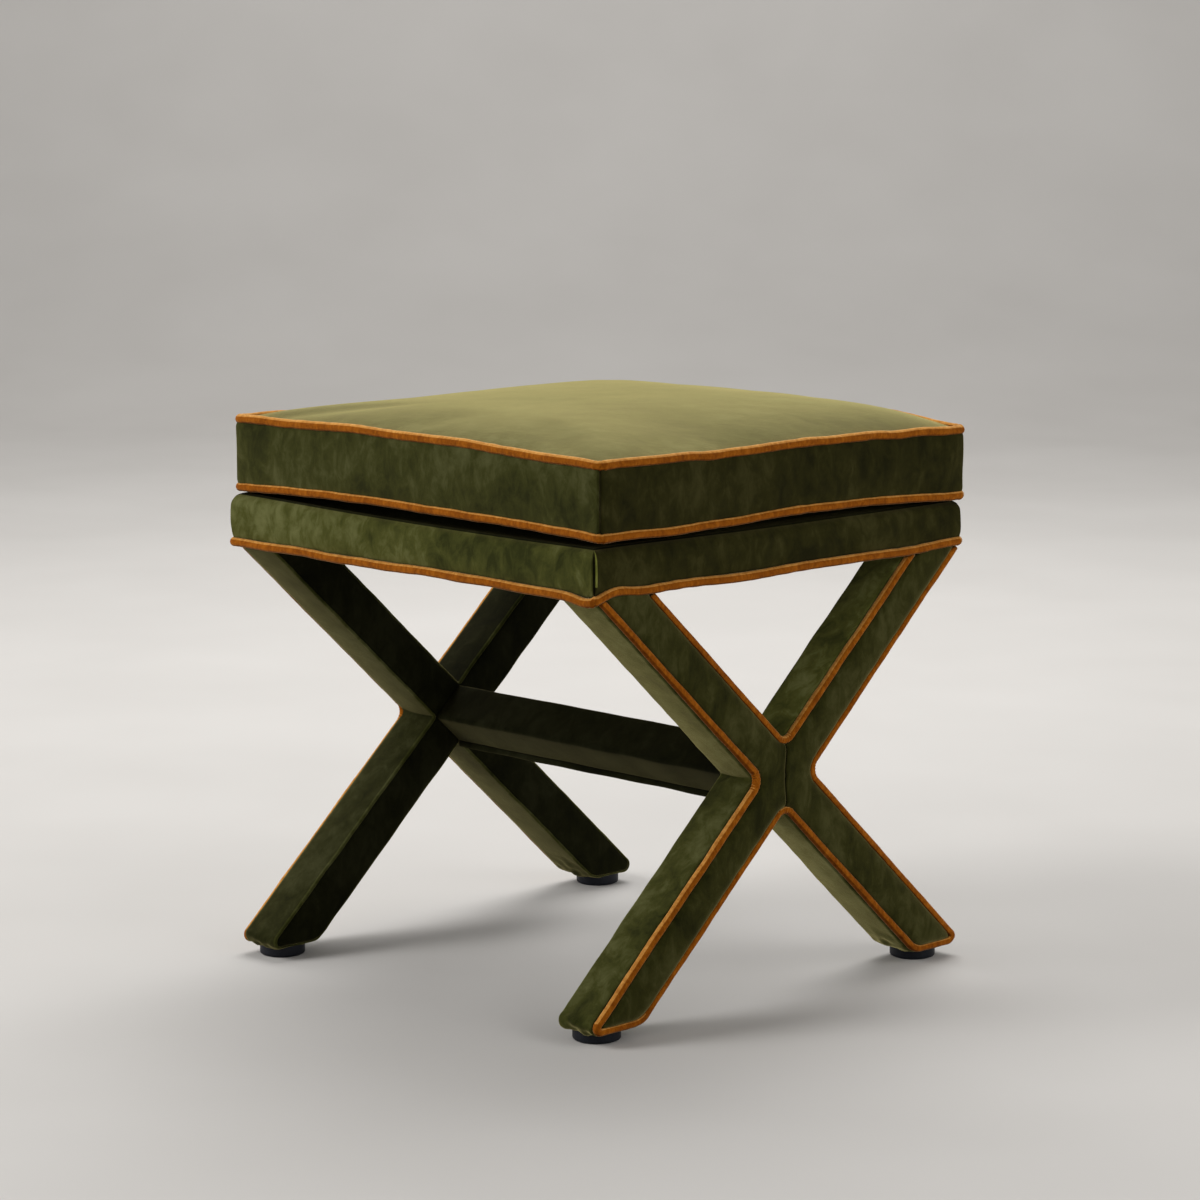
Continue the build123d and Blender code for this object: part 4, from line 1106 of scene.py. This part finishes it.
def cushion_loop(share):
    """One loop of the cushion's boxing, from the bottom edge at 0 to the top edge at 1."""
    tuck = CUSHION_WELT_SINK * (1 - min(share, 1 - share, WELT_SHARE) / WELT_SHARE)
    loop, places = plan_loop(cushion_low + tuck, cushion_high - tuck, CUSHION_CORNER, CUSHION_BOWS)
    level = bottom_welt_z + (top_welt_z - bottom_welt_z) * share
    z = edge_height(places, "bottom") * (1 - share) + edge_height(places, "top") * share
    back = np.clip(1.2 - np.abs(places * 4 - BACK_SIDE - 0.5) * 2, 0, 1) * (1 - abs(2 * share - 1))
    return np.column_stack([loop, z + (level - z) * back])


def crown(points, power):
    """Share of a crown's height over the cushion, flatter for a higher power."""
    reach = np.abs(points[..., :2] - (cushion_low + cushion_high) / 2) / ((cushion_high - cushion_low) / 2)
    return np.prod(1 - np.clip(reach, 0, 1) ** power, axis=-1)


def cushion_shell():
    """Points of the cover, faces by part, rings of the boxing and held points."""
    loops = [cushion_loop(share) for share in BOXING_ROWS]
    top = fill_grid(loops[-1])
    top[..., 2] += INFLATE_START * CUSHION_CROWN * crown(top, CROWN_POWER)
    bottom = fill_grid(loops[0])
    bottom[..., 2] += (cushion_base + BELLY_GAP - bottom[..., 2]) * crown(bottom, BELLY_POWER)
    square = GRID_SIDE ** 2
    count = 4 * LOOP_SIDE
    points = np.concatenate([top.reshape(-1, 3), bottom.reshape(-1, 3)] + loops[1:-1])
    rings = [square + grid_rim()]
    for row in range(len(loops) - 2):
        rings.append(2 * square + row * count + np.arange(count))
    rings.append(grid_rim())
    parts = {"cushion_top_panel": grid_faces(GRID_SIDE, GRID_SIDE)}
    parts["cushion_bottom_panel"] = [face[::-1] for face in grid_faces(GRID_SIDE, GRID_SIDE, square)]
    strips = loft_faces(rings)
    for side, name in enumerate(("boxing_front", "boxing_right", "boxing_back", "boxing_left")):
        for row in range(len(rings) - 1):
            first = row * count + side * LOOP_SIDE
            parts[f"{name}.{row}"] = strips[first:first + LOOP_SIDE]
    held = np.zeros(len(points), bool)
    held[rings[-1]] = True
    held[square:2 * square] = True
    return points, parts, rings, held


def inflate(points, faces, held):
    """The cover blown up between its seams, as a cloth under pressure."""
    body = sheet("inflating", points, faces)
    seams = body.vertex_groups.new(name="seams")
    seams.add([int(i) for i in np.flatnonzero(held)], 1.0, "REPLACE")
    cloth = body.modifiers.new("cloth", "CLOTH")
    settings = cloth.settings
    settings.quality = 6
    settings.mass = 0.3
    settings.tension_stiffness = 18
    settings.compression_stiffness = 18
    settings.shear_stiffness = 6
    settings.bending_stiffness = 1.2
    settings.vertex_group_mass = "seams"
    settings.use_pressure = True
    settings.uniform_pressure_force = INFLATE_PRESSURE
    settings.effector_weights.gravity = 0
    cloth.collision_settings.use_collision = False
    cloth.point_cache.frame_start = 1
    cloth.point_cache.frame_end = INFLATE_FRAMES
    for step in range(1, INFLATE_FRAMES + 1):
        scene.frame_set(step)
    blown = body.evaluated_get(bpy.context.evaluated_depsgraph_get()).data
    moved = np.array([vertex.co for vertex in blown.vertices]) - points
    scene.frame_set(1)
    bpy.data.objects.remove(body)
    far = np.linalg.norm(moved, axis=1)
    return points + unit(moved) * (INFLATE_CAP * np.tanh(far / INFLATE_CAP))[:, None]


def cushion_part(name, points, faces, material, finer, *stands_for):
    """One velvet piece of the cushion's cover."""
    piece = velvet_sheet(name, *trimmed(points, faces), (material,), "cushion", *stands_for)
    smooth = piece.modifiers.new("smooth", "SUBSURF")
    smooth.levels = finer
    smooth.render_levels = finer
    return piece


def cushion():
    """The cushion's cover: top, bottom and boxing, with the zip's slot in the back."""
    points, parts, rings, held = cushion_shell()
    points = inflate(points, [face for part in parts.values() for face in part], held)
    dents = uneven(points, TOP_DENTS) + uneven(points, TOP_FINE_DENTS)
    points[:, 2] += np.where((points[:, 2] > top_welt_z) & ~held, dents, 0)
    groove = BOXING_GROOVE * loop_seams()
    for ring in rings[1:-1]:
        swell = uneven(points[ring], BOXING_DENTS) - groove
        points[ring, :2] += swell[:, None] * unit(points[ring, :2])
    top_piece = cushion_part("cushion_top_panel", points, parts["cushion_top_panel"], green, 1,
                             "cushion_top_panel", "cushion_foam", "cushion_fibre_wrap")
    # The bottom panel takes the near-black copy of the green: painted shade
    cushion_part("cushion_bottom_panel", points, parts["cushion_bottom_panel"], green_painted_shade, 0,
                 "cushion_bottom_panel")
    strips = range(len(BOXING_ROWS) - 1)
    # The front boxing takes a lit copy of the green and the right boxing a shaded copy: painted light and
    # shade
    finishes = {"boxing_front": green_lit_front, "boxing_right": green_shaded_right, "boxing_left": green}
    for name, material in finishes.items():
        faces = [face for row in strips for face in parts[f"{name}.{row}"]]
        cushion_part(name, points, faces, material, 1, name)
    middle = len(BOXING_ROWS) // 2
    for name, rows in (("boxing_back_lower", strips[:middle]), ("boxing_back_upper", strips[middle:])):
        faces = []
        for row in rows:
            for face in parts[f"boxing_back.{row}"]:
                centre = points[list(face)].mean(0)
                slot = abs(centre[0]) < zip_slot_half and abs(centre[2] - zip_z) < ZIP_SLOT / 2
                if not slot:
                    faces.append(face)
        cushion_part(name, points, faces, green, 1, name)


cushion()
cushion_plan = (cushion_low, cushion_high, CUSHION_CORNER, CUSHION_BOWS)
for edge, seed in (("top", TOP_WELT_SEED), ("bottom", BOTTOM_WELT_SEED)):
    level_cord(f"cushion_{edge}_welt", "cushion", cushion_plan, CUSHION_WELT_SINK,
               lambda places: edge_height(places, edge), seed)


# Zip coil, two rows of teeth that meet in the middle
TOOTH_PITCH = 2.4 * MM
TOOTH_REACH = 1.25
TOOTH_BASE = 0.1 * MM
TOOTH_CREST = 0.05 * MM
TOOTH_PROFILE = ((0.0, 0.0), (0.25, 0.85), (0.5, 1.0), (0.8, 0.75), (1.0, 0.2))


def zip_coil():
    """Rows of rounded teeth in the room of the coil."""
    lo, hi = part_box("zip_coil")
    half = (hi.z - lo.z) / 2
    reach = half * TOOTH_REACH
    points = []
    faces = []
    count = int((hi.x - lo.x) / TOOTH_PITCH)
    for index in range(2 * count - 1):
        side = 1 if index % 2 else -1
        x = lo.x + (index + 1) * TOOTH_PITCH / 2
        start = len(points)
        for share, height in TOOTH_PROFILE:
            z = zip_z + side * (half - share * reach)
            y = lo.y + TOOTH_BASE + height * (hi.y - lo.y - TOOTH_BASE)
            arch = ((-0.42, lo.y), (-0.36, y), (0, y + TOOTH_CREST), (0.36, y), (0.42, lo.y))
            points += [(x + dx * TOOTH_PITCH, min(rise, hi.y), z) for dx, rise in arch]
        tooth = [*grid_faces(len(TOOTH_PROFILE), 5, start), tuple(range(start + 4, start - 1, -1)),
                 tuple(range(len(points) - 5, len(points)))]
        faces += tooth if side < 0 else [face[::-1] for face in tooth]
    finishes = (materials["zip_nylon"],)
    make_piece("zip_coil_teeth", points, faces, finishes, "zip_nylon", "cushion", "zip_coil")


zip_coil()


# Floor, light and camera
def stage_floor():
    """Plain pale floor that runs up into a backdrop."""
    half = 9.0
    back = 4.0
    bend = 2.5
    rows = [(-half, 0.0), (back, 0.0)]
    for angle in np.linspace(0, pi / 2, 25)[1:]:
        rows.append((back + bend * sin(angle), bend * (1 - cos(angle))))
    rows.append((back + bend, 7.0))
    turn = pi / 4
    points = []
    for depth, z in rows:
        for across in (-half, half):
            points.append((across * cos(turn) - depth * sin(turn), across * sin(turn) + depth * cos(turn), z))
    floor = sheet("floor", points, grid_faces(len(rows), 2))
    material, tree, shader = new_material("floor", 0.9)
    tone = noise(tree, stretched(tree, EVEN), 3, 2)
    tree.links.new(ramp(tree, tone, ((0.3, (0.60, 0.58, 0.555)), (0.7, (0.63, 0.61, 0.585)))),
                   shader.inputs["Base Color"])
    shader.inputs["Specular IOR Level"].default_value = 0.2
    floor.data.materials.append(material)


def aimed(name, data, place, aim):
    """New lamp or camera that looks at a point."""
    thing = placed(name, data)
    thing.location = place
    thing.rotation_euler = (Vector(aim) - Vector(place)).to_track_quat("-Z", "Y").to_euler()
    return thing


def area_light(name, place, aim, size, power):
    """Soft square lamp aimed at a point."""
    data = bpy.data.lights.new(name, "AREA")
    data.size = size
    data.energy = power
    aimed(name, data, place, aim)


def world_light(strength):
    """Even pale light from all round."""
    world = bpy.data.worlds.new("studio")
    world.use_nodes = True
    sky = world.node_tree.nodes["Background"]
    set_inputs(sky, {"Color": (1.0, 0.98, 0.95, 1), "Strength": strength})
    scene.world = world


stage_floor()
world_light(0.25)
area_light("key", (-1.9, -2.4, 2.6), (0, 0, 0.35), 1.6, 60)
area_light("side", (-1.4, -1.9, 0.8), (-0.1, 0, 0.4), 1.2, 11.5)
area_light("fill", (2.4, 0.8, 1.3), (0, 0, 0.35), 1.8, 20)
area_light("top", (-1.0, 1.3, 2.6), (0, 0, 0.4), 2.2, 66)
area_light("backdrop", (-2.4, 2.4, 3.8), (-4.6, 4.6, 1.6), 3.0, 70)

CAMERA_PLACE = (2.3648, -2.3298, 0.8449)
CAMERA_AIM = (-0.01084, 0.01437, 0.31512)
LENS = 115.18
SENSOR = 36
lens = bpy.data.cameras.new("camera")
lens.lens = LENS
lens.sensor_width = SENSOR
scene.camera = aimed("camera", lens, CAMERA_PLACE, CAMERA_AIM)
scene.view_settings.view_transform = "Standard"
